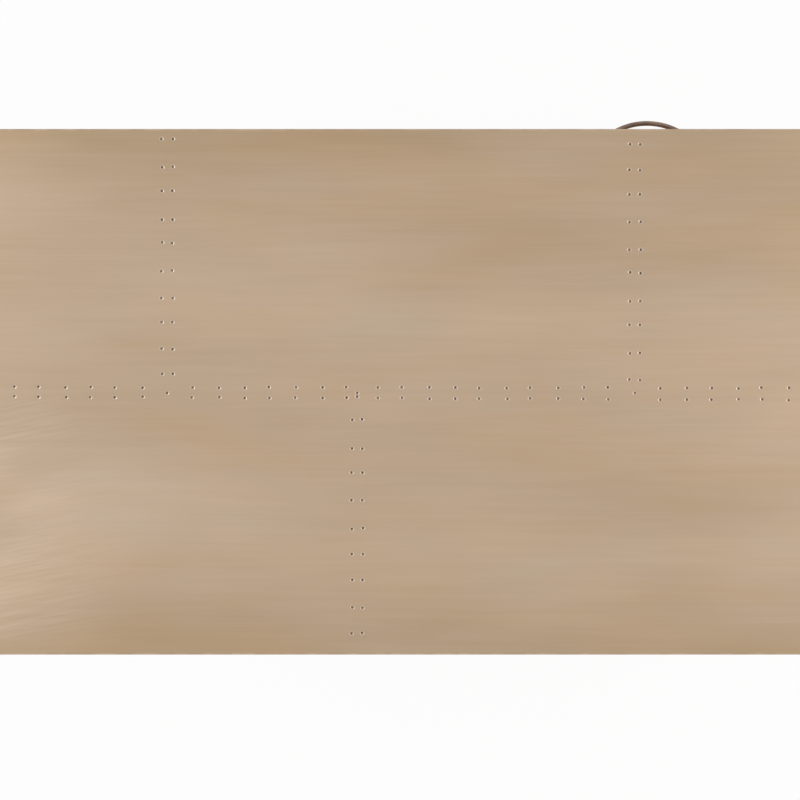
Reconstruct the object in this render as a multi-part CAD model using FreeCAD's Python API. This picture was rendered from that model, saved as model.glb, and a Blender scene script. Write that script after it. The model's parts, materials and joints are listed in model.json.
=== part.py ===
"""Campaign desk: a nailed brass-clad top on a three-drawer pedestal and an X-frame.

Millimetres, +Z up, floor at z = 0. The sitter's side faces -Y, the pedestal stands at -X.
The origin is on the floor, under the middle of the whole desk with its pulls.
"""
import FreeCAD, Part
import math
import os

Vec = FreeCAD.Vector

# Overall size
DESK_WIDTH = 1220.0
DESK_DEPTH = 762.0
DESK_HEIGHT = 762.0

# Metal cladding
SHEET = 1.0
TOP_BEND = 2.5
SMALL_BEND = 2.0
UNDER_LIP = 10.0
SEAM_GAP = 0.06

# Desk top
CORE_THICKNESS = 32.0
MIDDLE_SHEET_WIDTH = 678.0
BACK_SEAM_OFFSET = 63.5
LONG_SEAM_OFFSET = 1.6

# Nails, each in a dimple of the sheet
NAIL_PITCH = 37.4
EDGE_NAIL_PITCH = 76.0
SEAM_TO_NAIL = 7.7
NAIL_HEAD_R = 1.6
NAIL_HEAD_HEIGHT = 0.4
NAIL_HEAD_RIM = 0.2
NAIL_SHANK_R = 0.7
NAIL_SHANK = 6.2
NAIL_TIP = 1.5
NAIL_FIT = 0.05
DIMPLE_R = 3.3
DIMPLE_DEPTH = 0.5
DIMPLE_FLOOR_MARGIN = 0.2
PAIR_WANDER = 2.0
WANDER_ALONG = 0.7
WANDER_ACROSS = 0.7
LONG_ROW_DRIFT = 0.0028
LONG_ROW_SPREAD = 0.0015
FRONT_ROW_MARGIN = 18.5
FRONT_ROW_END = 23.5
FRONT_ROW_STAGGER = 2.8
BACK_ROW_START = 40.3
BACK_ROW_MARGIN = 30.7
JUNCTION_NAIL_STEP = 5.3
END_MARGIN = 11.0
BORDER_MARGIN = 10.0
# Number from which the hand-set unevenness of a row of nails is counted
LONG_ROW_HAND = 46
FRONT_ROW_HANDS = (26, 29)
BACK_ROW_HAND = 125

# Pedestal case
SIDE_OVERHANG = 22.0
FRONT_OVERHANG = 12.0
BACK_OVERHANG = 24.0
CASE_WIDTH = 440.0
FOOT_HEIGHT = 80.0
SIDE_BOARD = 18.0
SHELF_BOARD = 18.0
BACK_BOARD = 9.0
BACK_REBATE = 9.0
DADO_DEPTH = 6.0
RAIL_DEPTH = 70.0
DEEP_OPENING = 280.0

# Turned feet
FOOT_R = 29.0
FOOT_BASE_R = 18.0
FOOT_NECK_R = 19.0
FOOT_COLLAR_R = 26.0
FOOT_COLLAR = 14.0
FOOT_STUD_R = 6.0
FOOT_STUD = 14.0
FOOT_INSET = 34.0

# Drawers
FRONT_BOARD = 18.0
FACE_RETURN = 15.0
REVEAL = 2.0
BOX_LENGTH = 640.0
BOX_SIDE = 12.0
BOX_BACK = 12.0
BOX_BOTTOM = 6.0
BOX_CLEAR_BELOW = 9.0
BOX_CLEAR_ABOVE = 27.0
BOTTOM_RISE = 10.0
GROOVE_DEPTH = 5.0
HOUSING_DEPTH = 8.0

# Telescopic slides: nested channels on both sides of each drawer
SLIDE_GAP = 12.7
SLIDE_HEIGHT = 45.0
SLIDE_GAUGE = 1.2
SLIDE_CLEARANCE = 0.4
SLIDE_LENGTH = 620.0
SLIDE_SETBACK = 6.0

# Arched pulls
PULL_PROJECTION = 36.5
PULL_OUTER_R = 102.5
PULL_BAR = 7.0
PULL_BAR_HEIGHT = 12.0
PULL_BAR_ROUND = 2.4
PULL_CENTRES = 128.0
PULL_BAR_PAST_FOOT = 4.0
PULL_FOOT_R = 10.0
PULL_FOOT_TOP_R = 8.4
PULL_FOOT_HEIGHT = 8.5
PULL_SCREW_R = 2.0
PULL_SCREW_HEAD_R = 4.2
PULL_SCREW_HEAD = 2.6
PULL_SCREW_BITE = 5.5

# X-frame
LEG_WIDTH = 46.0
LEG_THICKNESS = 26.0
LEG_ROUND = 4.0
LEG_INSET = 46.0
LEG_PLATE = 6.0
LEG_PLATE_LENGTH = 140.0
LEG_PLATE_MARGIN = 6.0
CAP_WALL = 1.6
CAP_SOLE = 4.0
CAP_HEIGHT = 62.0
BOLT_R = 7.0
BOLT_HEAD_R = 21.0
BOLT_HEAD_RIM = 4.0
BOLT_HEAD_DOME = 7.0
BOLT_BITE = 26.0

# Stretcher from the crossing to the pedestal
STRETCHER_R = 12.0
STRETCHER_FLANGE_R = 34.0
STRETCHER_FLANGE = 6.0
STRETCHER_COLLAR_R = 19.0
STRETCHER_COLLAR = 14.0
STRETCHER_BEAD_R = 16.0
STRETCHER_BEAD = 12.0

# Wood screws and fits
SCREW_R = 2.2
SCREW_HEAD_R = 4.5
SCREW_HEAD = 2.4
SCREW_LENGTH = 14.0
SCREW_FIT = 0.05
CASE_SCREW_INSET = 60.0
FLANGE_SCREW_COUNT = 3
PLATE_SCREW_COUNT = 3
PLATE_SCREW_INSET = 18.0

# Places that follow from the sizes
PULL_REACH = PULL_PROJECTION - FRONT_OVERHANG
FRONT_EDGE = -(DESK_DEPTH - PULL_REACH) / 2
BACK_EDGE = FRONT_EDGE + DESK_DEPTH
LEFT_END = -DESK_WIDTH / 2
RIGHT_END = DESK_WIDTH / 2
LONG_SEAM_Y = (FRONT_EDGE + BACK_EDGE) / 2 + LONG_SEAM_OFFSET
CORE_TOP = DESK_HEIGHT - SHEET
CORE_UNDERSIDE = CORE_TOP - CORE_THICKNESS
TOP_UNDERSIDE = CORE_UNDERSIDE - SHEET

CASE_LEFT = LEFT_END + SIDE_OVERHANG
CASE_RIGHT = CASE_LEFT + CASE_WIDTH
CASE_FRONT = FRONT_EDGE + FRONT_OVERHANG
CASE_BACK = BACK_EDGE - BACK_OVERHANG
CASE_BOTTOM = FOOT_HEIGHT
CASE_TOP = CORE_UNDERSIDE
BOARD_FRONT = CASE_FRONT + SHEET
BOARD_BACK = CASE_BACK - SHEET
BACK_BOARD_FRONT = BOARD_BACK - BACK_BOARD
OPENING_LEFT = CASE_LEFT + SHEET + SIDE_BOARD
OPENING_RIGHT = CASE_RIGHT - SHEET - SIDE_BOARD
CASE_CENTRE_X = (CASE_LEFT + CASE_RIGHT) / 2
CASE_CENTRE_Y = (CASE_FRONT + CASE_BACK) / 2

SHALLOW_OPENING = (CASE_TOP - CASE_BOTTOM - 4 * SHELF_BOARD - DEEP_OPENING) / 2
LOWER_OPENING_Z = CASE_BOTTOM + SHELF_BOARD
MIDDLE_OPENING_Z = LOWER_OPENING_Z + DEEP_OPENING + SHELF_BOARD
UPPER_OPENING_Z = MIDDLE_OPENING_Z + SHALLOW_OPENING + SHELF_BOARD

FACE_BACK = BOARD_FRONT + FRONT_BOARD
BOX_LEFT = OPENING_LEFT + SLIDE_GAP
BOX_RIGHT = OPENING_RIGHT - SLIDE_GAP
BOX_END = FACE_BACK + BOX_LENGTH

FRAME_RIGHT = RIGHT_END - SIDE_OVERHANG
LEG_MEET_X = FRAME_RIGHT - LEG_THICKNESS
FRAME_LEFT = LEG_MEET_X - LEG_THICKNESS
LEG_TOP = CORE_UNDERSIDE - LEG_PLATE
LEG_FRONT_Y = CASE_FRONT + LEG_INSET
LEG_BACK_Y = CASE_BACK - LEG_INSET
CROSSING_Z = LEG_TOP / 2

nodes = {}


def box(x0, x1, y0, y1, z0, z1):
    """A block between two corners."""
    return Part.makeBox(x1 - x0, y1 - y0, z1 - z0, Vec(x0, y0, z0))


def axis_of(edge):
    """The row axis, 0, 1 or 2, that a straight edge runs along."""
    run = edge.Vertexes[-1].Point - edge.Vertexes[0].Point
    sizes = [abs(run.x), abs(run.y), abs(run.z)]
    return sizes.index(max(sizes))


def rounded(solid, radius, wanted):
    """The solid with the edges that wanted accepts rounded."""
    return solid.makeFillet(radius, [edge for edge in solid.Edges if wanted(edge)])


def turned(outline, arcs=None):
    """A solid turned about Z from (radius, height) points; arcs gives a point's number a via point."""
    corners = [Vec(radius, 0, height) for radius, height in outline]
    edges = []
    for number, (start, end) in enumerate(zip(corners, corners[1:] + corners[:1])):
        if arcs and number in arcs:
            radius, height = arcs[number]
            edges.append(Part.Arc(start, Vec(radius, 0, height), end).toShape())
        else:
            edges.append(Part.LineSegment(start, end).toShape())
    return Part.Face(Part.Wire(edges)).revolve(Vec(0, 0, 0), Vec(0, 0, 1), 360)


def dome_via(radius, rim, crown):
    """A point half way out on a round dome, from its crown on the axis to its rim."""
    rise = crown - rim
    sphere = (radius ** 2 + rise ** 2) / (2 * rise)
    drop = sphere - math.copysign(math.sqrt(sphere ** 2 - radius ** 2 / 4), sphere)
    return (radius / 2, crown - drop)


def placed(shape, point, direction):
    """A copy whose origin is at a point and whose +Z points along a direction."""
    copy = shape.copy()
    copy.Placement = FreeCAD.Placement(point, FreeCAD.Rotation(Vec(0, 0, 1), direction))
    return copy


# Nails and their seats. A spot is a point on the outer face of a sheet and the outward direction.
DIMPLE_FLOOR_R = NAIL_HEAD_R + DIMPLE_FLOOR_MARGIN
UP = Vec(0, 0, 1)
DOWN = Vec(0, 0, -1)
LEFT = Vec(-1, 0, 0)
RIGHT = Vec(1, 0, 0)
FRONT = Vec(0, -1, 0)
BACK = Vec(0, 1, 0)


def make_nail():
    """A pin with a low domed head that sits on the dimple's floor, below the sheet's face."""
    floor = -DIMPLE_DEPTH
    rim = floor + NAIL_HEAD_RIM
    crown = floor + NAIL_HEAD_HEIGHT
    tip = floor - NAIL_SHANK
    outline = [(0, crown), (NAIL_HEAD_R, rim), (NAIL_HEAD_R, floor), (NAIL_SHANK_R, floor),
               (NAIL_SHANK_R, tip + NAIL_TIP), (0, tip)]
    return turned(outline, {0: dome_via(NAIL_HEAD_R, rim, crown)})


def make_dimple():
    """The conical dent around a nail, carried a little above the sheet's face."""
    spread_r = DIMPLE_R - DIMPLE_FLOOR_R
    return Part.makeCone(DIMPLE_FLOOR_R, DIMPLE_R + spread_r, 2 * DIMPLE_DEPTH, Vec(0, 0, -DIMPLE_DEPTH))


def make_pilot():
    """The hole that a nail's shank goes down, through the sheet and into the wood."""
    length = NAIL_SHANK + NAIL_FIT
    return Part.makeCylinder(NAIL_SHANK_R + NAIL_FIT, length + DIMPLE_DEPTH / 2,
                             Vec(0, 0, -DIMPLE_DEPTH - length))


NAIL = make_nail()
DIMPLE = make_dimple()
PILOT = make_pilot()


def wander(count, reach):
    """Hand-set unevenness: a value within the reach that hardly repeats from nail to nail."""
    golden_turn = math.pi * (3 - math.sqrt(5))
    return reach * math.sin(golden_turn * count + math.sin(count))


def spread(start, end, pitch):
    """Even places from start to end, as near to the pitch as a whole number of spaces allows."""
    spaces = max(1, round((end - start) / pitch))
    return [start + (end - start) * i / spaces for i in range(spaces + 1)]


def stepped(start, end, pitch):
    """Places at the pitch from start towards end, without the start itself."""
    step = math.copysign(pitch, end - start)
    return [start + step * (i + 1) for i in range(int(abs(end - start) / pitch))]


def uneven(places, count):
    """Places moved a little along their row, each by its own amount, numbered on from the count."""
    return [place + wander(count + i, PAIR_WANDER) for i, place in enumerate(places)]


def nails(spots):
    """One nail at each spot."""
    return Part.makeCompound([placed(NAIL, *spot) for spot in spots])


def seated(sheet, spots):
    """The sheet with a dimple and a hole at each spot."""
    return sheet.cut([placed(tool, *spot) for tool in (DIMPLE, PILOT) for spot in spots])


def drilled(board, spots):
    """The board with a pilot hole at each spot."""
    return board.cut([placed(PILOT, *spot) for spot in spots])


def border_spots(corner, across, up, width, height, normal, pitch):
    """Spots around the border of a flat rectangle, one row at a margin from its edges."""
    spots = []
    xs = spread(BORDER_MARGIN, width - BORDER_MARGIN, pitch)
    zs = spread(BORDER_MARGIN, height - BORDER_MARGIN, pitch)
    places = [(x, z) for x in xs for z in (zs[0], zs[-1])]
    places += [(x, z) for x in (xs[0], xs[-1]) for z in zs[1:-1]]
    for count, (x, z) in enumerate(places):
        x += wander(count, WANDER_ACROSS)
        z += wander(count + 5, WANDER_ACROSS)
        spots.append((corner + across * x + up * z, normal))
    return spots


# Desk top
def top_seam_spots():
    """Double rows along the seams, and nails on the junctions of three sheets, two on the back one."""
    front_seams = (-MIDDLE_SHEET_WIDTH / 2, MIDDLE_SHEET_WIDTH / 2)
    junctions = [Vec(x, LONG_SEAM_Y, DESK_HEIGHT) for x in front_seams + (BACK_SEAM_OFFSET,)]
    junctions.append(Vec(BACK_SEAM_OFFSET, LONG_SEAM_Y + JUNCTION_NAIL_STEP, DESK_HEIGHT))
    pairs = []
    xs = spread(LEFT_END + END_MARGIN, front_seams[0], NAIL_PITCH)[:-1]
    xs += stepped(front_seams[0], BACK_SEAM_OFFSET, NAIL_PITCH)
    xs += stepped(front_seams[1], BACK_SEAM_OFFSET, NAIL_PITCH)
    xs += spread(front_seams[1], RIGHT_END - END_MARGIN, NAIL_PITCH)[1:]
    for x in uneven(xs, LONG_ROW_HAND):
        row_half = SEAM_TO_NAIL - LONG_ROW_SPREAD * x
        pairs.append((x, LONG_SEAM_Y - LONG_ROW_DRIFT * x, RIGHT, BACK, row_half))
    ys = spread(FRONT_EDGE + FRONT_ROW_MARGIN, LONG_SEAM_Y - FRONT_ROW_END, NAIL_PITCH)
    for seam, count in zip(front_seams, FRONT_ROW_HANDS):
        stagger = math.copysign(FRONT_ROW_STAGGER, -seam)
        for y in uneven(ys, count):
            pairs.append((seam, y + stagger, BACK, RIGHT, SEAM_TO_NAIL))
    ys = spread(LONG_SEAM_Y + BACK_ROW_START, BACK_EDGE - BACK_ROW_MARGIN, NAIL_PITCH)
    for y in uneven(ys, BACK_ROW_HAND):
        pairs.append((BACK_SEAM_OFFSET, y, BACK, RIGHT, SEAM_TO_NAIL))
    spots = [(point, UP) for point in junctions]
    for count, (x, y, along, across, row_half) in enumerate(pairs):
        for side in (-1, 1):
            shift = along * wander(2 * count + side, WANDER_ALONG)
            offset = across * (side * row_half + wander(3 * count + side, WANDER_ACROSS))
            spots.append((Vec(x, y, DESK_HEIGHT) + shift + offset, UP))
    return spots


def top_edge_spots():
    """One row round the edge of the top, at mid height, clear of the seams."""
    height = (TOP_UNDERSIDE + DESK_HEIGHT) / 2
    spots = []
    for y, normal, seams in ((FRONT_EDGE, FRONT, (-MIDDLE_SHEET_WIDTH / 2, MIDDLE_SHEET_WIDTH / 2)),
                             (BACK_EDGE, BACK, (BACK_SEAM_OFFSET,))):
        stops = [LEFT_END, *seams, RIGHT_END]
        for start, end in zip(stops, stops[1:]):
            for x in spread(start + FRONT_ROW_MARGIN, end - FRONT_ROW_MARGIN, EDGE_NAIL_PITCH):
                spots.append((Vec(x, y, height), normal))
    for x, normal in ((LEFT_END, LEFT), (RIGHT_END, RIGHT)):
        stops = [FRONT_EDGE, LONG_SEAM_Y, BACK_EDGE]
        for start, end in zip(stops, stops[1:]):
            for y in spread(start + FRONT_ROW_MARGIN, end - FRONT_ROW_MARGIN, EDGE_NAIL_PITCH):
                spots.append((Vec(x, y, height), normal))
    return spots


def make_top():
    """A wood core wrapped in five sheets that fold over the edges and return under the core."""
    core = box(LEFT_END + SHEET, RIGHT_END - SHEET, FRONT_EDGE + SHEET, BACK_EDGE - SHEET,
               CORE_UNDERSIDE, CORE_TOP)
    core = rounded(core, TOP_BEND - SHEET, lambda edge: True)
    skin = box(LEFT_END, RIGHT_END, FRONT_EDGE, BACK_EDGE, TOP_UNDERSIDE, DESK_HEIGHT)
    skin = rounded(skin, TOP_BEND, lambda edge: True)
    window = box(LEFT_END + UNDER_LIP, RIGHT_END - UNDER_LIP, FRONT_EDGE + UNDER_LIP,
                 BACK_EDGE - UNDER_LIP, TOP_UNDERSIDE, CORE_UNDERSIDE)
    spots = top_seam_spots() + top_edge_spots()
    skin = seated(skin.cut([core, window]), spots)
    gap = SEAM_GAP / 2
    half = MIDDLE_SHEET_WIDTH / 2
    front_row = (FRONT_EDGE, LONG_SEAM_Y - gap)
    back_row = (LONG_SEAM_Y + gap, BACK_EDGE)
    cells = {
        "top_sheet_front_left": (LEFT_END, -half - gap, *front_row),
        "top_sheet_front_middle": (-half + gap, half - gap, *front_row),
        "top_sheet_front_right": (half + gap, RIGHT_END, *front_row),
        "top_sheet_back_left": (LEFT_END, BACK_SEAM_OFFSET - gap, *back_row),
        "top_sheet_back_right": (BACK_SEAM_OFFSET + gap, RIGHT_END, *back_row),
    }
    for name, cell in cells.items():
        nodes[name] = skin.common(box(*cell, TOP_UNDERSIDE, DESK_HEIGHT))
    nodes["top_core"] = drilled(core, spots)
    nodes["top_nails"] = nails(spots)


# Pedestal case
def make_case():
    """Boards in dadoes and rebates, clad on three sides, with strips on the front edges."""
    shelves = {
        "case_bottom": (CASE_BOTTOM, BACK_BOARD_FRONT),
        "case_rail_lower": (LOWER_OPENING_Z + DEEP_OPENING, BOARD_FRONT + RAIL_DEPTH),
        "case_rail_upper": (MIDDLE_OPENING_Z + SHALLOW_OPENING, BOARD_FRONT + RAIL_DEPTH),
        "case_top": (CASE_TOP - SHELF_BOARD, BACK_BOARD_FRONT),
    }
    strips = []
    for name, (bottom, back) in shelves.items():
        nodes[name] = box(OPENING_LEFT - DADO_DEPTH, OPENING_RIGHT + DADO_DEPTH, BOARD_FRONT, back,
                          bottom, bottom + SHELF_BOARD)
        strips.append(box(OPENING_LEFT, OPENING_RIGHT, CASE_FRONT, BOARD_FRONT,
                          bottom, bottom + SHELF_BOARD))
    nodes["case_edge_strips"] = Part.makeCompound(strips)

    height = CASE_TOP - CASE_BOTTOM
    depth = CASE_BACK - CASE_FRONT
    back_left = OPENING_LEFT - BACK_REBATE
    back_right = OPENING_RIGHT + BACK_REBATE
    back = box(back_left, back_right, BACK_BOARD_FRONT, BOARD_BACK, CASE_BOTTOM, CASE_TOP)
    back_sheet = box(OPENING_LEFT, OPENING_RIGHT, BOARD_BACK, CASE_BACK, CASE_BOTTOM, CASE_TOP)
    back_spots = border_spots(Vec(OPENING_LEFT, CASE_BACK, CASE_BOTTOM), RIGHT, UP,
                              OPENING_RIGHT - OPENING_LEFT, height, BACK, EDGE_NAIL_PITCH)
    nodes["case_back_sheet"] = seated(back_sheet, back_spots)
    joined = [nodes[name] for name in shelves] + [back]
    nodes["case_back"] = drilled(back, back_spots)

    spots = list(back_spots)
    for name, face, inside, normal in (("outer", CASE_LEFT, OPENING_LEFT, LEFT),
                                       ("inner", CASE_RIGHT, OPENING_RIGHT, RIGHT)):
        low, high = sorted((face, inside))
        skin = box(low, high, CASE_FRONT, CASE_BACK, CASE_BOTTOM, CASE_TOP)
        skin = rounded(skin, SMALL_BEND, lambda edge: on_corner(edge, face))
        wood_face = face - normal.x * SHEET
        low, high = sorted((wood_face, inside))
        board = box(low, high, BOARD_FRONT, BOARD_BACK, CASE_BOTTOM, CASE_TOP)
        board = rounded(board, SMALL_BEND - SHEET, lambda edge: on_corner(edge, wood_face))
        side_spots = border_spots(Vec(face, CASE_FRONT, CASE_BOTTOM), BACK, UP, depth, height,
                                  normal, EDGE_NAIL_PITCH)
        nodes["case_%s_sheet" % name] = seated(skin.cut(board), side_spots)
        nodes["case_%s_side" % name] = drilled(board.cut(joined), side_spots)
        spots += side_spots
    nodes["case_nails"] = nails(spots)


def on_corner(edge, face):
    """Whether an edge is an upright one on the given X face."""
    return axis_of(edge) == 2 and abs(edge.CenterOfMass.x - face) < SHEET / 10


def make_feet():
    """Four turned feet, each with a stud that screws up into the case bottom."""
    neck = FOOT_HEIGHT - FOOT_COLLAR
    outline = [(0, 0), (FOOT_BASE_R, 0), (FOOT_NECK_R, neck), (FOOT_COLLAR_R, neck),
               (FOOT_COLLAR_R, FOOT_HEIGHT), (FOOT_STUD_R, FOOT_HEIGHT),
               (FOOT_STUD_R, FOOT_HEIGHT + FOOT_STUD), (0, FOOT_HEIGHT + FOOT_STUD)]
    foot = turned(outline, {1: (FOOT_R, neck / 2)})
    socket = Part.makeCylinder(FOOT_STUD_R + SCREW_FIT, FOOT_STUD + SCREW_FIT, Vec(0, 0, FOOT_HEIGHT))
    spots = [(Vec(x, y, 0), UP) for x in (CASE_LEFT + FOOT_INSET, CASE_RIGHT - FOOT_INSET)
             for y in (CASE_FRONT + FOOT_INSET, CASE_BACK - FOOT_INSET)]
    nodes["case_feet"] = Part.makeCompound([placed(foot, *spot) for spot in spots])
    nodes["case_bottom"] = nodes["case_bottom"].cut([placed(socket, *spot) for spot in spots])


# Drawers
def make_pull():
    """A bowed bar that lands on two round feet; the front's face is y = 0 and the pull reaches to -Y."""
    centre_y = PULL_OUTER_R - PULL_PROJECTION
    middle_r = PULL_OUTER_R - PULL_BAR / 2
    half_angle = math.degrees(math.asin((PULL_CENTRES / 2 + PULL_BAR_PAST_FOOT) / middle_r))
    section = Part.makePlane(PULL_BAR, PULL_BAR_HEIGHT, Vec(0, -PULL_PROJECTION, -PULL_BAR_HEIGHT / 2),
                             RIGHT, BACK)
    section.rotate(Vec(0, centre_y, 0), UP, -half_angle)
    bar = section.revolve(Vec(0, centre_y, 0), UP, 2 * half_angle)
    bar = rounded(bar, PULL_BAR_ROUND, lambda edge: edge.Length > PULL_CENTRES)
    pull = bar
    for x in (-PULL_CENTRES / 2, PULL_CENTRES / 2):
        foot = Part.makeCone(PULL_FOOT_R, PULL_FOOT_TOP_R, PULL_FOOT_HEIGHT, Vec(x, 0, 0), FRONT)
        pull = pull.fuse(foot)
    bores = [Part.makeCylinder(PULL_SCREW_R + SCREW_FIT, PULL_SCREW_BITE + SCREW_FIT, Vec(x, 0, 0), FRONT)
             for x in (-PULL_CENTRES / 2, PULL_CENTRES / 2)]
    return pull.cut(bores).removeSplitter()


def make_pull_screw():
    """A screw from inside the drawer, through front board and face sheet, into the pull's foot."""
    grip = FRONT_BOARD + SHEET
    outline = [(0, -PULL_SCREW_HEAD), (PULL_SCREW_HEAD_R, -PULL_SCREW_HEAD), (PULL_SCREW_HEAD_R, 0),
               (PULL_SCREW_R, 0), (PULL_SCREW_R, grip + PULL_SCREW_BITE), (0, grip + PULL_SCREW_BITE)]
    return turned(outline)


def make_drawer(name, opening_z, opening):
    """One drawer: clad front, box boards in housings and grooves, arched pull."""
    left = OPENING_LEFT + REVEAL
    right = OPENING_RIGHT - REVEAL
    low = opening_z + REVEAL
    high = opening_z + opening - REVEAL
    box_low = opening_z + BOX_CLEAR_BELOW
    box_high = opening_z + opening - BOX_CLEAR_ABOVE
    bottom_low = box_low + BOTTOM_RISE
    bottom_high = bottom_low + BOX_BOTTOM

    face = box(left, right, CASE_FRONT, BOARD_FRONT + FACE_RETURN, low, high)
    face = rounded(face, SMALL_BEND, lambda edge: on_front(edge, CASE_FRONT))
    front = box(left + SHEET, right - SHEET, BOARD_FRONT, FACE_BACK, low + SHEET, high - SHEET)
    front = rounded(front, SMALL_BEND - SHEET, lambda edge: on_front(edge, BOARD_FRONT))
    spots = border_spots(Vec(left, CASE_FRONT, low), RIGHT, UP, right - left, high - low, FRONT, NAIL_PITCH)

    pull_spot = Vec(CASE_CENTRE_X, CASE_FRONT, (low + high) / 2)
    screw_ends = [Vec(pull_spot.x + x, FACE_BACK, pull_spot.z) for x in (-PULL_CENTRES / 2, PULL_CENTRES / 2)]
    screw_holes = [Part.makeCylinder(PULL_SCREW_R + SCREW_FIT, FRONT_BOARD + SHEET, end, FRONT)
                   for end in screw_ends]

    bottom = box(BOX_LEFT + BOX_SIDE - GROOVE_DEPTH, BOX_RIGHT - BOX_SIDE + GROOVE_DEPTH,
                 FACE_BACK - GROOVE_DEPTH, BOX_END, bottom_low, bottom_high)
    back = box(BOX_LEFT + BOX_SIDE - GROOVE_DEPTH, BOX_RIGHT - BOX_SIDE + GROOVE_DEPTH,
               BOX_END - BOX_BACK, BOX_END, bottom_high, box_high)
    sides = []
    for hand, x in (("left", BOX_LEFT), ("right", BOX_RIGHT - BOX_SIDE)):
        board = box(x, x + BOX_SIDE, FACE_BACK - HOUSING_DEPTH, BOX_END, box_low, box_high)
        sides.append(board.cut([bottom, back]))
        nodes["%s_drawer_%s_side" % (name, hand)] = sides[-1]

    nodes[name + "_drawer_face_sheet"] = seated(face.cut([front, *screw_holes]), spots)
    nodes[name + "_drawer_front"] = drilled(front.cut([*sides, bottom, *screw_holes]), spots)
    nodes[name + "_drawer_face_nails"] = nails(spots)
    nodes[name + "_drawer_bottom"] = bottom
    nodes[name + "_drawer_back"] = back
    pull = make_pull()
    pull.translate(pull_spot)
    nodes[name + "_drawer_pull"] = pull
    screw = make_pull_screw()
    nodes[name + "_drawer_pull_screws"] = Part.makeCompound([placed(screw, end, FRONT) for end in screw_ends])
    make_slides(name, (box_low + box_high) / 2)


def on_front(edge, face):
    """Whether an edge runs front to back, or borders the given front face."""
    return axis_of(edge) == 1 or abs(edge.CenterOfMass.y - face) < SHEET / 10


# Telescopic slides
case_rails = []


def channel(x_web, x_lips, half_height, y0, y1, z):
    """A C-channel along Y: its web at x_web, its lips reaching to x_lips."""
    toward = math.copysign(SLIDE_GAUGE, x_lips - x_web)
    low, high = sorted((x_web, x_lips))
    solid = box(low, high, y0, y1, z - half_height, z + half_height)
    low, high = sorted((x_web + toward, x_lips))
    hollow = half_height - SLIDE_GAUGE
    return solid.cut(box(low, high, y0, y1, z - hollow, z + hollow))


def make_slides(name, z):
    """Three nested channels on each side: one on the case, one between, one on the drawer."""
    front = FACE_BACK + SLIDE_SETBACK
    back = front + SLIDE_LENGTH
    step = SLIDE_GAUGE + SLIDE_CLEARANCE
    half = SLIDE_HEIGHT / 2
    middle = []
    inner = []
    for wall, toward in ((OPENING_LEFT, 1), (OPENING_RIGHT, -1)):
        drawer_side = wall + toward * SLIDE_GAP
        lips = drawer_side - toward * step
        case_rails.append(channel(wall, lips, half, front, back, z))
        middle.append(channel(wall + toward * step, lips, half - step, front, back, z))
        inner.append(channel(drawer_side, wall + toward * 2 * step, half - 2 * step, front, back, z))
    nodes[name + "_slide_middle_rails"] = Part.makeCompound(middle)
    nodes[name + "_slide_drawer_rails"] = Part.makeCompound(inner)


# X-frame
def leg_outline(start_y, end_y, z0, z1, margin):
    """The slanting strip of a leg between two heights, wider by the margin on each side."""
    slope = (end_y - start_y) / LEG_TOP
    half = (LEG_WIDTH / 2 + margin) * math.hypot(1, slope)
    return [(start_y + slope * z + side * half, z) for side, z in ((-1, z0), (1, z0), (1, z1), (-1, z1))]


def leg_bar(start_y, end_y, z0, z1, x0, x1, margin):
    """A slanting bar in the plane of the X-frame, cut level at both ends, with rounded long edges."""
    corners = [Vec(x0, y, z) for y, z in leg_outline(start_y, end_y, z0, z1, margin)]
    bar = Part.Face(Part.makePolygon(corners + corners[:1])).extrude(Vec(x1 - x0, 0, 0))
    slanting = [edge for edge in bar.Edges
                if abs(edge.Vertexes[0].Point.z - edge.Vertexes[-1].Point.z) > (z1 - z0) / 2]
    return bar.makeFillet(LEG_ROUND + margin, slanting)


def make_x_frame():
    """Two crossing legs side by side, each with a welded top plate and a capped foot."""
    bolt_hole = Part.makeCylinder(BOLT_R + SCREW_FIT, 2 * LEG_THICKNESS,
                                  Vec(FRAME_LEFT, CASE_CENTRE_Y, CROSSING_Z), RIGHT)
    caps = []
    plate_screws = []
    front_plate = (CASE_FRONT + LEG_PLATE_MARGIN, CASE_FRONT + LEG_PLATE_MARGIN + LEG_PLATE_LENGTH)
    back_plate = (CASE_BACK - LEG_PLATE_MARGIN - LEG_PLATE_LENGTH, CASE_BACK - LEG_PLATE_MARGIN)
    for name, start_y, end_y, x0, free_x, plate_span in (
            ("x_leg_inner", LEG_FRONT_Y, LEG_BACK_Y, FRAME_LEFT, LEG_MEET_X, back_plate),
            ("x_leg_outer", LEG_BACK_Y, LEG_FRONT_Y, LEG_MEET_X, FRAME_LEFT, front_plate)):
        x1 = x0 + LEG_THICKNESS
        bar = leg_bar(start_y, end_y, CAP_SOLE, LEG_TOP, x0, x1, 0)
        plate = box(FRAME_LEFT, FRAME_RIGHT, *plate_span, LEG_TOP, CORE_UNDERSIDE)
        first = plate_span[0] + PLATE_SCREW_INSET
        step = (LEG_PLATE_LENGTH - 2 * PLATE_SCREW_INSET) / (PLATE_SCREW_COUNT - 1)
        screws = [(Vec(free_x + LEG_THICKNESS / 2, first + step * index, LEG_TOP), UP)
                  for index in range(PLATE_SCREW_COUNT)]
        leg = bar.fuse(plate).cut([bolt_hole] + [screw_hole(spot) for spot in screws])
        nodes[name] = leg.removeSplitter()
        cap = leg_bar(start_y, end_y, 0, CAP_HEIGHT, x0 - CAP_WALL, x1 + CAP_WALL, CAP_WALL)
        caps.append(cap.cut(bar))
        plate_screws += screws
    nodes["leg_caps"] = Part.makeCompound(caps)
    return plate_screws


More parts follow.
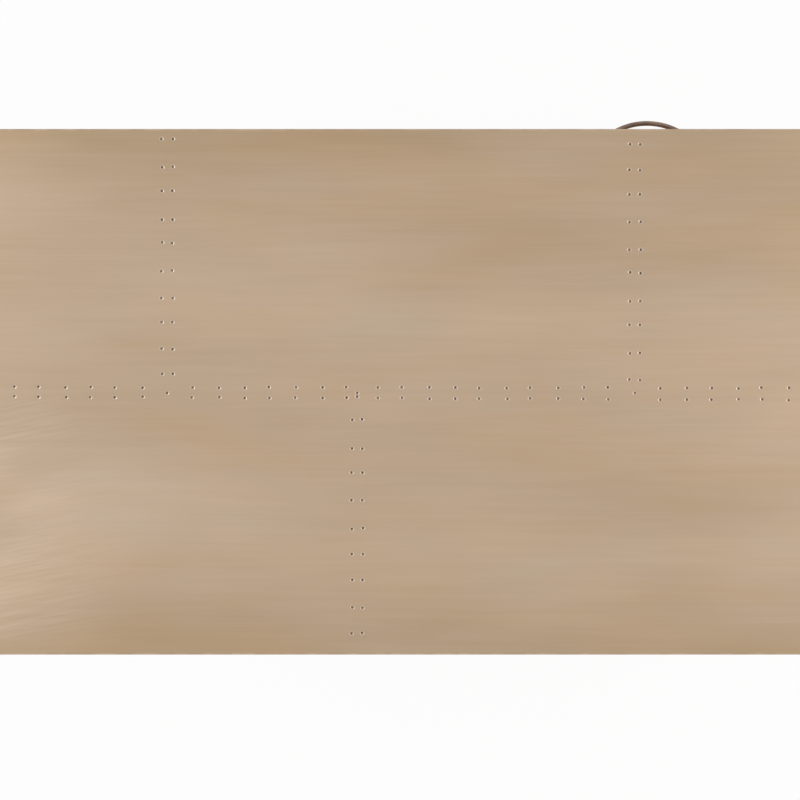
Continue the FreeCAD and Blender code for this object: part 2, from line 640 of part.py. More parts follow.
def make_stretcher():
    """A turned bar from the pedestal to the crossing, where the bolt through both legs holds it."""
    length = FRAME_LEFT - CASE_RIGHT
    bead = STRETCHER_BEAD
    collar = length - STRETCHER_COLLAR
    outline = [(0, 0), (STRETCHER_FLANGE_R, 0), (STRETCHER_FLANGE_R, STRETCHER_FLANGE),
               (STRETCHER_R, STRETCHER_FLANGE), (STRETCHER_R, 2 * bead), (STRETCHER_R, 3 * bead),
               (STRETCHER_R, length / 2 - bead), (STRETCHER_R, length / 2 + bead),
               (STRETCHER_R, collar - 2 * bead), (STRETCHER_R, collar - bead), (STRETCHER_R, collar),
               (STRETCHER_COLLAR_R, collar), (STRETCHER_COLLAR_R, length), (BOLT_R + SCREW_FIT, length),
               (BOLT_R + SCREW_FIT, length - BOLT_BITE - SCREW_FIT), (0, length - BOLT_BITE - SCREW_FIT)]
    beads = {4: (STRETCHER_BEAD_R, 2.5 * bead), 6: (STRETCHER_BEAD_R, length / 2),
             8: (STRETCHER_BEAD_R, collar - 1.5 * bead)}
    bar = turned(outline, beads)
    foot = Vec(CASE_RIGHT, CASE_CENTRE_Y, CROSSING_Z)
    ring = (STRETCHER_FLANGE_R + STRETCHER_BEAD_R) / 2
    screws = []
    for index in range(FLANGE_SCREW_COUNT):
        angle = 2 * math.pi * index / FLANGE_SCREW_COUNT
        point = foot + Vec(STRETCHER_FLANGE, ring * math.sin(angle), ring * math.cos(angle))
        screws.append((point, LEFT))
    nodes["stretcher"] = placed(bar, foot, RIGHT).cut([screw_hole(spot) for spot in screws])

    shank = 2 * LEG_THICKNESS + BOLT_BITE
    rim = -BOLT_HEAD_RIM
    crown = rim - BOLT_HEAD_DOME
    outline = [(0, crown), (BOLT_HEAD_R, rim), (BOLT_HEAD_R, 0), (BOLT_R, 0), (BOLT_R, shank), (0, shank)]
    bolt = turned(outline, {0: dome_via(BOLT_HEAD_R, rim, crown)})
    nodes["pivot_bolt"] = placed(bolt, Vec(FRAME_RIGHT, CASE_CENTRE_Y, CROSSING_Z), LEFT)
    return screws


# Wood screws: a spot is the seat under the head and the way the screw is driven
def make_screw():
    """A wood screw with a flat round head, driven along +Z."""
    outline = [(0, -SCREW_HEAD), (SCREW_HEAD_R, -SCREW_HEAD), (SCREW_HEAD_R, 0), (SCREW_R, 0),
               (SCREW_R, SCREW_LENGTH), (0, SCREW_LENGTH)]
    return turned(outline)


def screw_hole(spot):
    """The hole of a screw that is driven at a spot."""
    return Part.makeCylinder(SCREW_R + SCREW_FIT, SCREW_LENGTH + SCREW_FIT, *spot)


def fasten(spots, boards):
    """The holes of screws in the boards that they pass through or bite into."""
    for name in boards:
        nodes[name] = nodes[name].cut([screw_hole(spot) for spot in spots])


def make_screws(plate_screws, flange_screws):
    """Screws that hold the X-frame and the case to the top, and the stretcher to the case."""
    seat_z = CASE_TOP - SCREW_LENGTH / 2
    case_screws = [(Vec(x, y, seat_z), UP)
                   for x in (OPENING_LEFT + CASE_SCREW_INSET, OPENING_RIGHT - CASE_SCREW_INSET)
                   for y in (BOARD_FRONT + CASE_SCREW_INSET, BACK_BOARD_FRONT - CASE_SCREW_INSET)]
    counterbores = [Part.makeCylinder(SCREW_HEAD_R + SCREW_FIT, SHELF_BOARD, point, DOWN)
                    for point, way in case_screws]
    nodes["case_top"] = nodes["case_top"].cut(counterbores)
    fasten(case_screws, ["case_top", "top_core"])
    fasten(plate_screws, ["top_core"])
    fasten(flange_screws, ["case_inner_sheet", "case_inner_side"])
    screw = make_screw()
    nodes["wood_screws"] = Part.makeCompound(
        [placed(screw, *spot) for spot in case_screws + plate_screws + flange_screws])


def main():
    make_top()
    make_case()
    make_feet()
    make_drawer("upper", UPPER_OPENING_Z, SHALLOW_OPENING)
    make_drawer("middle", MIDDLE_OPENING_Z, SHALLOW_OPENING)
    make_drawer("lower", LOWER_OPENING_Z, DEEP_OPENING)
    nodes["slide_case_rails"] = Part.makeCompound(case_rails)
    plate_screws = make_x_frame()
    flange_screws = make_stretcher()
    make_screws(plate_screws, flange_screws)
    os.makedirs("parts", exist_ok=True)
    for name, shape in nodes.items():
        shape.exportStep("parts/%s.step" % name)
        print(name, len(shape.Solids), shape.isValid(), round(shape.Volume, 1))


main()
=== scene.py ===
# %% [markdown]
# # A campaign desk clad in brass
# The desk has a wood core under five brushed brass sheets, which are nailed along their seams. Under it
# stand a pedestal of three drawers and a crossed-leg frame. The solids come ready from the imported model,
# in metres. This lesson gives them their looks: dented sheets, nail heads, bowed pulls, turned metal and
# finishes.

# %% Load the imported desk
import json
import math

import bmesh
import bpy
import numpy as np
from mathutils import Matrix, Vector
from mathutils.geometry import delaunay_2d_cdt


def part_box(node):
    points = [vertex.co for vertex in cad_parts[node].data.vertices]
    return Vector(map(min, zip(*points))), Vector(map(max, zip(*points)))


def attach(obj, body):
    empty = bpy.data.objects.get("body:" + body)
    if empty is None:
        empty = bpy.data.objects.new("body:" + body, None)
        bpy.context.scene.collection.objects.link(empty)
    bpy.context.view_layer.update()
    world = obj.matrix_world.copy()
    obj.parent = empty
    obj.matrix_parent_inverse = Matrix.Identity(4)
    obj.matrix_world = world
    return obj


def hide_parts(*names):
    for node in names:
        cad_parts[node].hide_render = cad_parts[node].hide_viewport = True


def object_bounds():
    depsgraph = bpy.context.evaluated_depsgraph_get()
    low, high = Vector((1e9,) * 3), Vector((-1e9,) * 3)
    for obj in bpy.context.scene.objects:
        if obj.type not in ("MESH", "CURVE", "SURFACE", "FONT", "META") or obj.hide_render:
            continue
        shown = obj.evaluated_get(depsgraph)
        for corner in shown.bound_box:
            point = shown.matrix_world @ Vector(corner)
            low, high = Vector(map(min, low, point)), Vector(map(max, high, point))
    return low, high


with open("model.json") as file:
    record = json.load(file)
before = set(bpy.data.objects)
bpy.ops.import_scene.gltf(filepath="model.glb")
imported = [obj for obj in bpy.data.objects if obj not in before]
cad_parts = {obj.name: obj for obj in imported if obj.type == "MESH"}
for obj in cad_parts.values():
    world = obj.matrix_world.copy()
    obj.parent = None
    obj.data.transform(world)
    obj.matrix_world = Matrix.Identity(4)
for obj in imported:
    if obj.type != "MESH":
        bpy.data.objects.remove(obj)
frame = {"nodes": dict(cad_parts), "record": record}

cad_box = [list(corner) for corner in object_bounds()]
scene = bpy.context.scene
scene.view_settings.view_transform = "Standard"

# %% [markdown]
# ## The camera
# The photograph looks straight down on the top from far away, with the drawer side up, so the camera
# makes half a turn about Z. One pixel is a known width on the top, so the lens follows from the distance
# and from the width that 800 pixels cover.

# %% Camera
MM = 0.001
PICTURE = 800
PIXEL = 1.4487 * MM
DESK_CENTRE_PIXEL = (401.0, 391.8)
CAMERA_RISE = 3.8
SENSOR = 36.0


def middle_of(node):
    """The middle of a node's box."""
    return sum(np.array(list(corner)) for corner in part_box(node)) / 2


def placed(name, data):
    """A new object in the scene."""
    made = bpy.data.objects.new(name, data)
    scene.collection.objects.link(made)
    return made


top_z = cad_box[1][2]
top_middle = middle_of("top_core")
camera_data = bpy.data.cameras.new("photo_camera")
camera_data.sensor_width = SENSOR
camera_data.lens = SENSOR * CAMERA_RISE / (PICTURE * PIXEL)
camera = placed("photo_camera", camera_data)
camera.rotation_euler = (0, 0, math.pi)
camera.location = (top_middle[0] + (DESK_CENTRE_PIXEL[0] - PICTURE / 2) * PIXEL,
                   top_middle[1] + (PICTURE / 2 - DESK_CENTRE_PIXEL[1]) * PIXEL,
                   top_z + CAMERA_RISE)
scene.camera = camera
print("lens %.1f mm, camera at" % camera_data.lens, [round(c, 4) for c in camera.location])

# %% [markdown]
# ## Shader maths as Python
# A finish is a small network of nodes. A Wire holds one socket of it, and adding or multiplying Wires
# adds the Math nodes, so that a formula for a finish reads as it would on paper.

# %% Wire
class Wire:
    """One output socket of a node tree; arithmetic on it adds Math nodes."""

    def __init__(self, tree, socket):
        self.tree = tree
        self.socket = socket

    def math(self, operation, first, second):
        node = self.tree.nodes.new("ShaderNodeMath")
        node.operation = operation
        for socket, value in zip(node.inputs, (first, second)):
            feed(self.tree, socket, value)
        return Wire(self.tree, node.outputs[0])

    def __add__(self, other):
        return self.math("ADD", self, other)

    def __sub__(self, other):
        return self.math("SUBTRACT", self, other)

    def __mul__(self, other):
        return self.math("MULTIPLY", self, other)

    def __rsub__(self, other):
        return self.math("SUBTRACT", other, self)

    def __abs__(self):
        return self.math("ABSOLUTE", self, 0.0)

    __radd__ = __add__
    __rmul__ = __mul__


def feed(tree, socket, value):
    """Link a Wire to a socket, or set the socket to a plain value or an opaque colour."""
    if isinstance(value, Wire):
        tree.links.new(value.socket, socket)
    else:
        socket.default_value = (*value, 1.0) if socket.type == "RGBA" else value


def swing(noise, reach):
    """A noise from 0 to 1 as a swing about 0: the reach times the noise less a half."""
    return reach * (noise - 0.5)


# %% [markdown]
# ## A finish
# A Finish holds one material, adds any node with one method, and knows the patterns that metal and wood
# share: noise stretched along a direction, a soft step, a mix of two colours, and wear that comes and
# goes. A piece can carry two values at its points: "dent" is 1 on the floor of a dent, "rub" is 1 on an
# edge that hands touch.

# %% Finish class
WEAR_SHAKE = 1.6


class Finish:
    """A material with one Principled shader, built up node by node."""

    def __init__(self, name):
        self.material = bpy.data.materials.new(name)
        self.material.use_nodes = True
        self.tree = self.material.node_tree
        self.shader = next(n for n in self.tree.nodes if n.type == "BSDF_PRINCIPLED")
        self.place = self.add("ShaderNodeTexCoord", output="Object")

    def add(self, kind, sockets=None, settings=None, output=0):
        """Any node: its type, its sockets' values, its settings, and the output wanted."""
        node = self.tree.nodes.new(kind)
        for name, value in (settings or {}).items():
            setattr(node, name, value)
        for key, value in (sockets or {}).items():
            feed(self.tree, node.inputs[key], value)
        return Wire(self.tree, node.outputs[output])

    def stretched(self, size, detail, at=None):
        """Noise from 0 to 1 whose blots have the given size in metres along X, Y and Z."""
        spot = self.add("ShaderNodeVectorMath", {0: at or self.place, 1: [1 / length for length in size]},
                        {"operation": "MULTIPLY"})
        return self.add("ShaderNodeTexNoise", {"Vector": spot, "Scale": 1.0, "Detail": detail})

    def along(self, axis, length, width, detail):
        """Noise stretched along one axis, as brush strokes and wood grain are."""
        return self.stretched([length if number == axis else width for number in range(3)], detail)

    def clouds(self, size, detail):
        """Noise of the same size in all directions."""
        return self.stretched([size] * 3, detail)

    def step(self, value, start, end):
        """A soft step: 0 before start, 1 after end."""
        return self.add("ShaderNodeMapRange", {"Value": value, "From Min": start, "From Max": end},
                        {"interpolation_type": "SMOOTHSTEP"})

    def mix(self, factor, first, second):
        """A colour between two colours."""
        return self.add("ShaderNodeMix", {0: factor, 6: first, 7: second},
                        {"data_type": "RGBA", "clamp_factor": True}, 2)

    def axis(self, number):
        """One coordinate of the place on the object."""
        return self.add("ShaderNodeSeparateXYZ", {0: self.place}, output=number)

    def mark(self, name):
        """A value that the piece carries at its points, or else 0."""
        return self.add("ShaderNodeAttribute", None, {"attribute_name": name}, "Fac")

    def worn(self, rub, grain, start, end):
        """Wear that comes and goes: where the rubbing, shaken by a noise, passes a soft threshold."""
        return self.step(rub + swing(grain, WEAR_SHAKE), start, end)

    def bump(self, height, depth, strength):
        """Fine relief; depth in metres is what a height of 1 stands for."""
        relief = {"Height": height, "Distance": depth, "Strength": strength}
        self.set(Normal=self.add("ShaderNodeBump", relief))

    def set(self, **sockets):
        """Set or link the shader's sockets; an underscore in a name stands for a space."""
        for name, value in sockets.items():
            feed(self.tree, self.shader.inputs[name.replace("_", " ")], value)


# %% Colours
def srgb(red, green, blue):
    """The linear colour of a colour as a picture stores it, from 0 to 255."""
    parts = np.array([red, green, blue]) / 255
    return tuple(np.where(parts <= 0.04045, parts / 12.92, ((parts + 0.055) / 1.055) ** 2.4).tolist())


def toned(colour, factor):
    """A linear colour made lighter or darker."""
    return tuple(part * factor for part in colour)


# %% [markdown]
# ## Light
# A picture like this is taken in a white tent: light from all round, and soft boxes above both ends of
# the desk that model the dents. The world is a plain grey light that looks white to the camera, in
# reflections and through glass.

# %% World and soft boxes
WORLD_LIGHT = 0.80
# Name, place, side and power of each soft box
SOFT_BOXES = (
    ("low_right", (1.80, -0.65, 2.36), 1.0, 7.0),
    ("low_left", (-1.80, -0.05, 2.36), 1.0, 6.0),
    ("high_right", (1.75, 0.30, 3.00), 1.5, 2.0),
)


def seen_white(tree):
    """1 for rays that come from the camera, off metal or through glass, and 0 for light."""
    path = tree.nodes.new("ShaderNodeLightPath")
    rays = [Wire(tree, path.outputs[name]) for name in
            ("Is Camera Ray", "Is Glossy Ray", "Is Transmission Ray")]
    return rays[0] + rays[1] + rays[2]


world = bpy.data.worlds.new("studio")
world.use_nodes = True
scene.world = world
backdrop = next(n for n in world.node_tree.nodes if n.type == "BACKGROUND")
backdrop.inputs["Color"].default_value = (1, 1, 1, 1)
feed(world.node_tree, backdrop.inputs["Strength"],
     WORLD_LIGHT + (1 - WORLD_LIGHT) * seen_white(world.node_tree))

for name, place, size, power in SOFT_BOXES:
    lamp = bpy.data.lights.new("soft_box_" + name, "AREA")
    lamp.shape = "SQUARE"
    lamp.size = size
    lamp.energy = power
    box_light = placed(lamp.name, lamp)
    box_light.location = place
    aim = Vector((0, 0, top_z)) - Vector(place)
    box_light.rotation_euler = aim.to_track_quat("-Z", "Y").to_euler()
print("lights:", len(SOFT_BOXES), "soft boxes and the world")

# %% [markdown]
# ## Floor
# The floor is white to the same rays as the background. A share of real white paint is mixed in, which
# keeps the desk's shadow. The share is larger under the desk, where the shadow is deepest, and fades out
# far away.

# %% Floor
FLOOR_HALF = 30.0
PAINT_SHARE = 0.07
PAINT_FADE = (1.2, 3.0)
SHADE_SHARE = 0.38
SHADE_FADE_X = (0.58, 0.76)
SHADE_FADE_Y = (0.36, 0.46)


def floor_paint():
    """White paint that also shines plain white to the rays that seen_white picks."""
    paint = Finish("floor_paint")
    tree = paint.tree
    paint.set(Base_Color=(0.95, 0.95, 0.95), Roughness=0.9, Specular_IOR_Level=0.0)
    glow = paint.add("ShaderNodeEmission", {"Color": (1, 1, 1), "Strength": 1.0})
    reach = paint.add("ShaderNodeVectorMath", {0: paint.place}, {"operation": "LENGTH"}, "Value")
    beside = paint.step(abs(paint.axis(0)), *SHADE_FADE_X)
    before = paint.step(abs(paint.axis(1)), *SHADE_FADE_Y)
    shown = PAINT_SHARE * (1 - paint.step(reach, *PAINT_FADE)) + SHADE_SHARE * (1 - beside) * (1 - before)
    white = (1 - shown) * seen_white(tree)
    blend = paint.add("ShaderNodeMixShader", {0: white, 1: Wire(tree, paint.shader.outputs[0]), 2: glow})
    out = next(n for n in tree.nodes if n.type == "OUTPUT_MATERIAL")
    tree.links.new(blend.socket, out.inputs["Surface"])
    return paint.material


floor_mesh = bpy.data.meshes.new("floor")
corners = FLOOR_HALF * np.array([(-1, -1, 0), (1, -1, 0), (1, 1, 0), (-1, 1, 0)])
floor_mesh.from_pydata(corners.tolist(), [], [(0, 1, 2, 3)])
floor_mesh.materials.append(floor_paint())
floor = placed("floor", floor_mesh)
print("floor: %.0f m wide" % (2 * FLOOR_HALF))

# %% [markdown]
# ## Brushed brass
# Brushed sheet brass has fine hairlines in one direction, broader strokes, and soft bands where the brush
# pressed harder. All are noise stretched along the brushing, from hair width to hand width, and move the
# tone between a deep and a pale brass. A painted sheen makes the tone lighter in the middle, from front
# to back, as if lit from above. Near one end of the top the brush came round in slanting sweeps, which
# are painted lighter there as a sheen, and old lacquer makes patches warmer or cooler. That end is also
# pulled cooler and greyer, a painted reflection. A dent has a painted highlight on its slope and painted
# shade on its floor, and folds are rubbed paler in places. Metal reflects its colour, so colour and
# roughness do most of the work. A fine relief breaks up the gloss.

# %% Brushed brass
BRASS_DEEP = srgb(167, 142, 111.6)
BRASS_PALE = srgb(194.5, 173, 151.4)
BRASS_WORN = srgb(216, 197, 172)
# Colour of the painted highlight on the slopes of dents
BRASS_DENT_HIGHLIGHT = srgb(212, 207, 203)
# Colour of the painted shade on the floors of dents
BRASS_DENT_SHADE = srgb(106, 88, 71)
WARMER = (1.017, 1.000, 0.981)
COOLER = (0.983, 1.000, 1.019)
# Length, width and detail of each kind of stroke, and how far it moves the tone
STROKES = {
    "bands": ((800 * MM, 160 * MM, 1.0), 0.70),
    "blush": ((280 * MM, 110 * MM, 2.0), 0.45),
    "brush": ((180 * MM, 9 * MM, 2.0), 0.22),
    "hair": ((160 * MM, 1.1 * MM, 3.0), 0.22),
}
CAST_STROKES = (220 * MM, 60 * MM, 2.0)
# Painted sheen from the front of the top to the back: a constant, and factors of y and y squared
PAINTED_SHEEN_BY_DEPTH = (0.08, 0.12, -1.4)
SWEEP_SLOPE = 0.20
SWEEP_SIZE = (90 * MM, 3.5 * MM, 3.5 * MM)
SWEEP_PATCH = (300 * MM, 110 * MM, 110 * MM)
SWEEP_X = (0.34, 0.60)
SWEEP_Y = (-0.02, 0.06)
SWEEP_EDGE = (0.38, 0.60)
# Lift of the swept patch: painted sheen at that end of the top
SWEEP_PAINTED_SHEEN = 0.28
SWEEP_REACH = 0.8
# Where and how far the +X end of the top is pulled cooler: a painted reflection
PAINTED_REFLECTION_X = (0.20, 0.45)
PAINTED_REFLECTION_Y = (0.10, 0.25)
PAINTED_REFLECTION_PULL = 0.2
COOL_EDGE = (0.35, 0.65)
FOLD_WEAR = 25 * MM
FOLD_WEAR_EDGE = (0.75, 1.25)
WORN_SHARE = 0.28
DENT_HIGHLIGHT_SHARE = 0.37
DENT_SHADE_SHARE = 0.5
DENT_SHADE_EDGE = (0.75, 1.0)
BRASS_ROUGHNESS = 0.37
HAIR_RELIEF = 0.02 * MM


# %% Brushed brass material
def sweeps(brass, x, y):
    """Slanting strokes near one end of the top, and how much of them each place has."""
    slant = brass.add("ShaderNodeCombineXYZ", {0: x, 1: y - SWEEP_SLOPE * x, 2: brass.axis(2)})
    sweep = brass.stretched(SWEEP_SIZE, 2.0, slant)
    patches = brass.step(brass.stretched(SWEEP_PATCH, 1.0, slant), *SWEEP_EDGE)
    return sweep, brass.step(x, *SWEEP_X) * brass.step(y, *SWEEP_Y) * patches


def brushed_brass(name, axis):
    """Brass with hairlines along one axis, 0 for X or 1 for Y.

    Tone = a half, every stroke's swing, a painted sheen by depth, and the sweeps with a painted lift.
    """
    brass = Finish(name)
    x, y = brass.axis(0), brass.axis(1)
    noise = {kind: brass.along(axis, *size) for kind, (size, reach) in STROKES.items()}
    sweep, swept = sweeps(brass, x, y)
    # Painted sheen: the tone is lighter in the middle of the depth and falls off towards front and back
    tone = 0.5 + PAINTED_SHEEN_BY_DEPTH[0] + PAINTED_SHEEN_BY_DEPTH[1] * y + PAINTED_SHEEN_BY_DEPTH[2] * y * y
    for kind, (size, reach) in STROKES.items():
        tone = tone + swing(noise[kind], reach)
    # The sweeps' strokes are brushing; their lift is painted sheen that lightens that end
    tone = tone + swept * (SWEEP_PAINTED_SHEEN + swing(sweep, SWEEP_REACH))
    colour = brass.mix(tone, BRASS_DEEP, BRASS_PALE)

    # Painted reflection: the +X end is pulled cooler and greyer, on top of random lacquer patches
    painted_reflection_end = brass.step(x, *PAINTED_REFLECTION_X) * (1 - brass.step(y, *PAINTED_REFLECTION_Y))
    cool = brass.step(brass.along(axis, *CAST_STROKES) + PAINTED_REFLECTION_PULL * painted_reflection_end, *COOL_EDGE)
    cast = brass.mix(cool, WARMER, COOLER)
    colour = brass.add("ShaderNodeVectorMath", {0: colour, 1: cast}, {"operation": "MULTIPLY"})

    dent = brass.mark("dent")
    slope = 4 * dent * (1 - dent)
    worn = brass.worn(brass.mark("rub"), brass.clouds(FOLD_WEAR, 4.0), *FOLD_WEAR_EDGE)
    colour = brass.mix(WORN_SHARE * worn, colour, BRASS_WORN)
    # Painted highlight: the slope of each dent is painted pale all round
    colour = brass.mix(DENT_HIGHLIGHT_SHARE * slope, colour, BRASS_DENT_HIGHLIGHT)
    # Painted shade: the floor of each dent is darkened
    colour = brass.mix(DENT_SHADE_SHARE * brass.step(dent, *DENT_SHADE_EDGE), colour, BRASS_DENT_SHADE)
    roughness = BRASS_ROUGHNESS + swing(noise["brush"], 0.10) + swing(noise["bands"], 0.08)
    roughness = roughness - 0.10 * slope - 0.04 * swept - 0.06 * worn
    brass.set(Base_Color=colour, Metallic=1.0, Roughness=roughness)
    brass.bump(noise["hair"] + 0.6 * sweep * swept, HAIR_RELIEF, 0.35)
    return brass.material


brass_along_x = brushed_brass("brushed_brass_along_x", 0)
brass_along_y = brushed_brass("brushed_brass_along_y", 1)
print("brass finishes: brushed along X, brushed along Y")

# %% [markdown]
# ## Bronze patina
# The nails are tarnished, dark and rather dull. The pulls and the iron frame have a dark bronze patina:
# brown with lighter clouds, rubbed paler and glossier along the edges. Pulls and turned pieces carry the
# rubbing at their points. The legs are plain solids, so there it comes from the place: an edge is where
# two faces are near.

# %% Patina
LEG_HALF_WIDTH = 23.0 * MM
LEG_HALF_THICKNESS = 13.0 * MM
LEG_LEAN = 634 / 723
PLATE_Z = 720.0 * MM
EDGE_REACH = 4.5 * MM
EDGE_END = 0.5 * MM
CAP_WALL = 1.6 * MM
PATINA_CLOUD = 45 * MM
PATINA_WEAR = 20 * MM
GRIT_RELIEF = 0.06 * MM


def patina(name, dark, light, roughness, grit, edges=None):
    """Two browns in soft clouds, with grit. The rubbing comes from the points, or from the function edges."""
    bronze = Finish(name)
    cloud = bronze.clouds(PATINA_CLOUD, 4.0)
    fine = bronze.clouds(grit, 3.0)
    colour = bronze.mix(bronze.step(0.7 * cloud + 0.3 * fine, 0.34, 0.66), dark, light)
    rub = edges(bronze) if edges else bronze.mark("rub")
    worn = bronze.worn(rub, bronze.clouds(PATINA_WEAR, 4.0), 0.50, 1.15)
    colour = bronze.mix(0.55 * worn, colour, toned(light, 1.7))
    bronze.set(Base_Color=colour, Metallic=0.85,
               Roughness=roughness + swing(cloud, 0.25) + swing(fine, 0.1) - 0.1 * worn)
    bronze.bump(fine, GRIT_RELIEF, 0.5)
    return bronze.material


def leg_edges(lean, middle_x, wall=0.0):
    """Rubbing of a slanting leg: 1 near a face across the leg and a face along X. A cap adds its wall.

    Across the leg = (y - lean * z) / sqrt(1 + lean ** 2), measured from the pivot bolt.
    """
    pivot = middle_of("pivot_bolt")
    width = LEG_HALF_WIDTH + wall
    depth = LEG_HALF_THICKNESS + wall

    def edges(metal):
        x, y, z = (metal.axis(number) for number in range(3))
        across = abs(y - pivot[1] - lean * (z - pivot[2])) * (1 / math.hypot(1, lean))
        on_side = metal.step(across, width - EDGE_REACH, width - EDGE_END)
        on_face = metal.step(abs(x - middle_x), depth - EDGE_REACH, depth - EDGE_END)
        return on_side * on_face * (1 - metal.step(z, PLATE_Z - EDGE_REACH, PLATE_Z))

    return edges


IRON = (srgb(72, 60, 51), srgb(112, 94, 80), 0.44, 2.2 * MM)
frame_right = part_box("x_leg_outer")[1][0]
OUTER_LEG = (-LEG_LEAN, frame_right - LEG_HALF_THICKNESS)
INNER_LEG = (LEG_LEAN, frame_right - 3 * LEG_HALF_THICKNESS)
nail_tarnish = patina("nail_tarnish", srgb(86, 72, 60), srgb(130, 110, 90), 0.42, 1.2 * MM)
pull_patina = patina("pull_patina", srgb(108, 90, 79), srgb(150, 127, 112), 0.36, 3.0 * MM)
frame_patina = patina("frame_patina", *IRON)
outer_leg_patina = patina("outer_leg_patina", *IRON, leg_edges(*OUTER_LEG))
inner_leg_patina = patina("inner_leg_patina", *IRON, leg_edges(*INNER_LEG))
print("patinas: nails, pulls, frame, outer leg, inner leg")

# %% [markdown]
# ## Cast brass
# The caps on the legs are castings: polished, with small dark pits of age. Their edges are rubbed bright,
# and the last few millimetres above the floor are scuffed dark and dull by shoes and brooms. Noise and
# the place on the cap give all of that without a painted image.

# %% Cast brass
CAST_DEEP = srgb(168, 143, 110)
CAST_PALE = srgb(197, 172, 136)
CAST_PIT = srgb(104, 82, 58)
CAST_RUBBED = srgb(232, 214, 182)
CAST_SCUFFED = srgb(118, 98, 74)
SCUFF_Z = (2 * MM, 12 * MM)
CAST_CLOUD = (30 * MM, 30 * MM, 45 * MM)
CAST_WEAR = 12 * MM
PIT = 2.2 * MM
PIT_RELIEF = 0.05 * MM


def cap_edges(metal):
    """Rubbing of both caps: a leg's rule is about 1 on the other leg's cap, so the product fits both."""
    return leg_edges(*OUTER_LEG, CAP_WALL)(metal) * leg_edges(*INNER_LEG, CAP_WALL)(metal)


def cast_brass():
    """Brass in soft clouds with dark pits, pale edges and a scuffed sole."""
    brass = Finish("cast_brass")
    cloud = brass.stretched(CAST_CLOUD, 4.0)
    pits = brass.clouds(PIT, 2.0)
    worn = brass.worn(cap_edges(brass), brass.clouds(CAST_WEAR, 4.0), 0.45, 1.05)
    scuffed = brass.worn(1 - brass.step(brass.axis(2), *SCUFF_Z), cloud, 0.40, 1.10)
    colour = brass.mix(brass.step(cloud, 0.35, 0.70), CAST_DEEP, CAST_PALE)
    colour = brass.mix(0.6 * brass.step(pits, 0.62, 0.74), colour, CAST_PIT)
    colour = brass.mix(0.55 * worn, colour, CAST_RUBBED)
    colour = brass.mix(0.5 * scuffed, colour, CAST_SCUFFED)
    brass.set(Base_Color=colour, Metallic=1.0, Roughness=0.26 + 0.18 * cloud - 0.06 * worn + 0.14 * scuffed)
    brass.bump(pits, PIT_RELIEF, 0.4)
    return brass.material


cap_brass = cast_brass()
print("cast brass for the leg caps")

# %% [markdown]
# ## Wood and steel
# The boards are stained wood outside and pale wood in the drawers, with growth rings made by folding
# broad noise over and over, and fibres along the grain. An image would lie on the faces only, while noise
# in space runs through the whole board, as grain does. The upper edges of the drawers are worn pale by
# hands. Zinc plating gives the slides faint crystal patches, and the screws are plain steel.

# %% Wood
DRAWERS = ("upper", "middle", "lower")
RIM_BELOW = (2.4 * MM, 0.4 * MM)
RIM_ABOVE = (0.4 * MM, 1.0 * MM)
# Length, width and detail of each pattern along the grain
RING_GRAIN = (700 * MM, 60 * MM, 1.5)
FIBRE_GRAIN = (60 * MM, 1.1 * MM, 3.0)
PORE_GRAIN = (12 * MM, 0.6 * MM, 1.0)
WEAR_GRAIN = (60 * MM, 12 * MM, 3.0)
RING_FOLDS = 55
FIBRE_RELIEF = 0.08 * MM


def drawer_rims(wood):
    """Rubbing of the drawers' upper edges: 1 just under the height of each rim."""
    z = wood.axis(2)
    rub = 0.0
    for drawer in DRAWERS:
        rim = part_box(drawer + "_drawer_left_side")[1][2]
        below = wood.step(z, rim - RIM_BELOW[0], rim - RIM_BELOW[1])
        above = wood.step(z, rim + RIM_ABOVE[0], rim + RIM_ABOVE[1])
        rub = below * (1 - above) + rub
    return rub


def board(name, axis, dark, light, gloss, edges=None):
    """Wood with its grain along one axis: rings are folds of broad noise, fibres are stretched noise."""
    wood = Finish(name)
    broad = wood.along(axis, *RING_GRAIN)
    rings = 0.5 + 0.5 * wood.add("ShaderNodeMath", {0: RING_FOLDS * broad}, {"operation": "SINE"})
    fibres = wood.along(axis, *FIBRE_GRAIN)
    pores = wood.step(wood.along(axis, *PORE_GRAIN), 0.60, 0.70)
    tone = 0.55 * rings + 0.45 * fibres
    colour = wood.mix(tone, dark, light)
    colour = wood.mix(0.35 * pores, colour, toned(dark, 0.55))
    roughness = gloss + 0.15 * (1 - tone)
    if edges:
        worn = wood.worn(edges(wood), wood.along(axis, *WEAR_GRAIN), 0.45, 1.10)
        colour = wood.mix(0.5 * worn, colour, toned(light, 1.25))
        roughness = roughness - 0.12 * worn
    wood.set(Base_Color=colour, Roughness=roughness, Specular_IOR_Level=0.4)
    wood.bump(fibres - 0.8 * pores, FIBRE_RELIEF, 0.35)
    return wood.material


# %% Steel
DRAWN_LINES = (90 * MM, 0.8 * MM, 2.0)
LINE_RELIEF = 0.02 * MM


def plated(name, colour, cell, roughness):
    """Steel in crystal cells of slightly different grey, with fine drawing lines along Y."""
    steel = Finish(name)
    cells = steel.add("ShaderNodeTexVoronoi", {"Vector": steel.place, "Scale": 1 / cell}, output="Color")
    grey = steel.add("ShaderNodeSeparateColor", {0: cells})
    lines = steel.along(1, *DRAWN_LINES)
    tone = 0.5 * grey + 0.5 * lines
    steel.set(Base_Color=steel.mix(tone, toned(colour, 0.82), toned(colour, 1.12)), Metallic=1.0,
              Roughness=roughness + swing(lines, 0.16) + 0.08 * grey)
    steel.bump(lines, LINE_RELIEF, 0.3)
    return steel.material


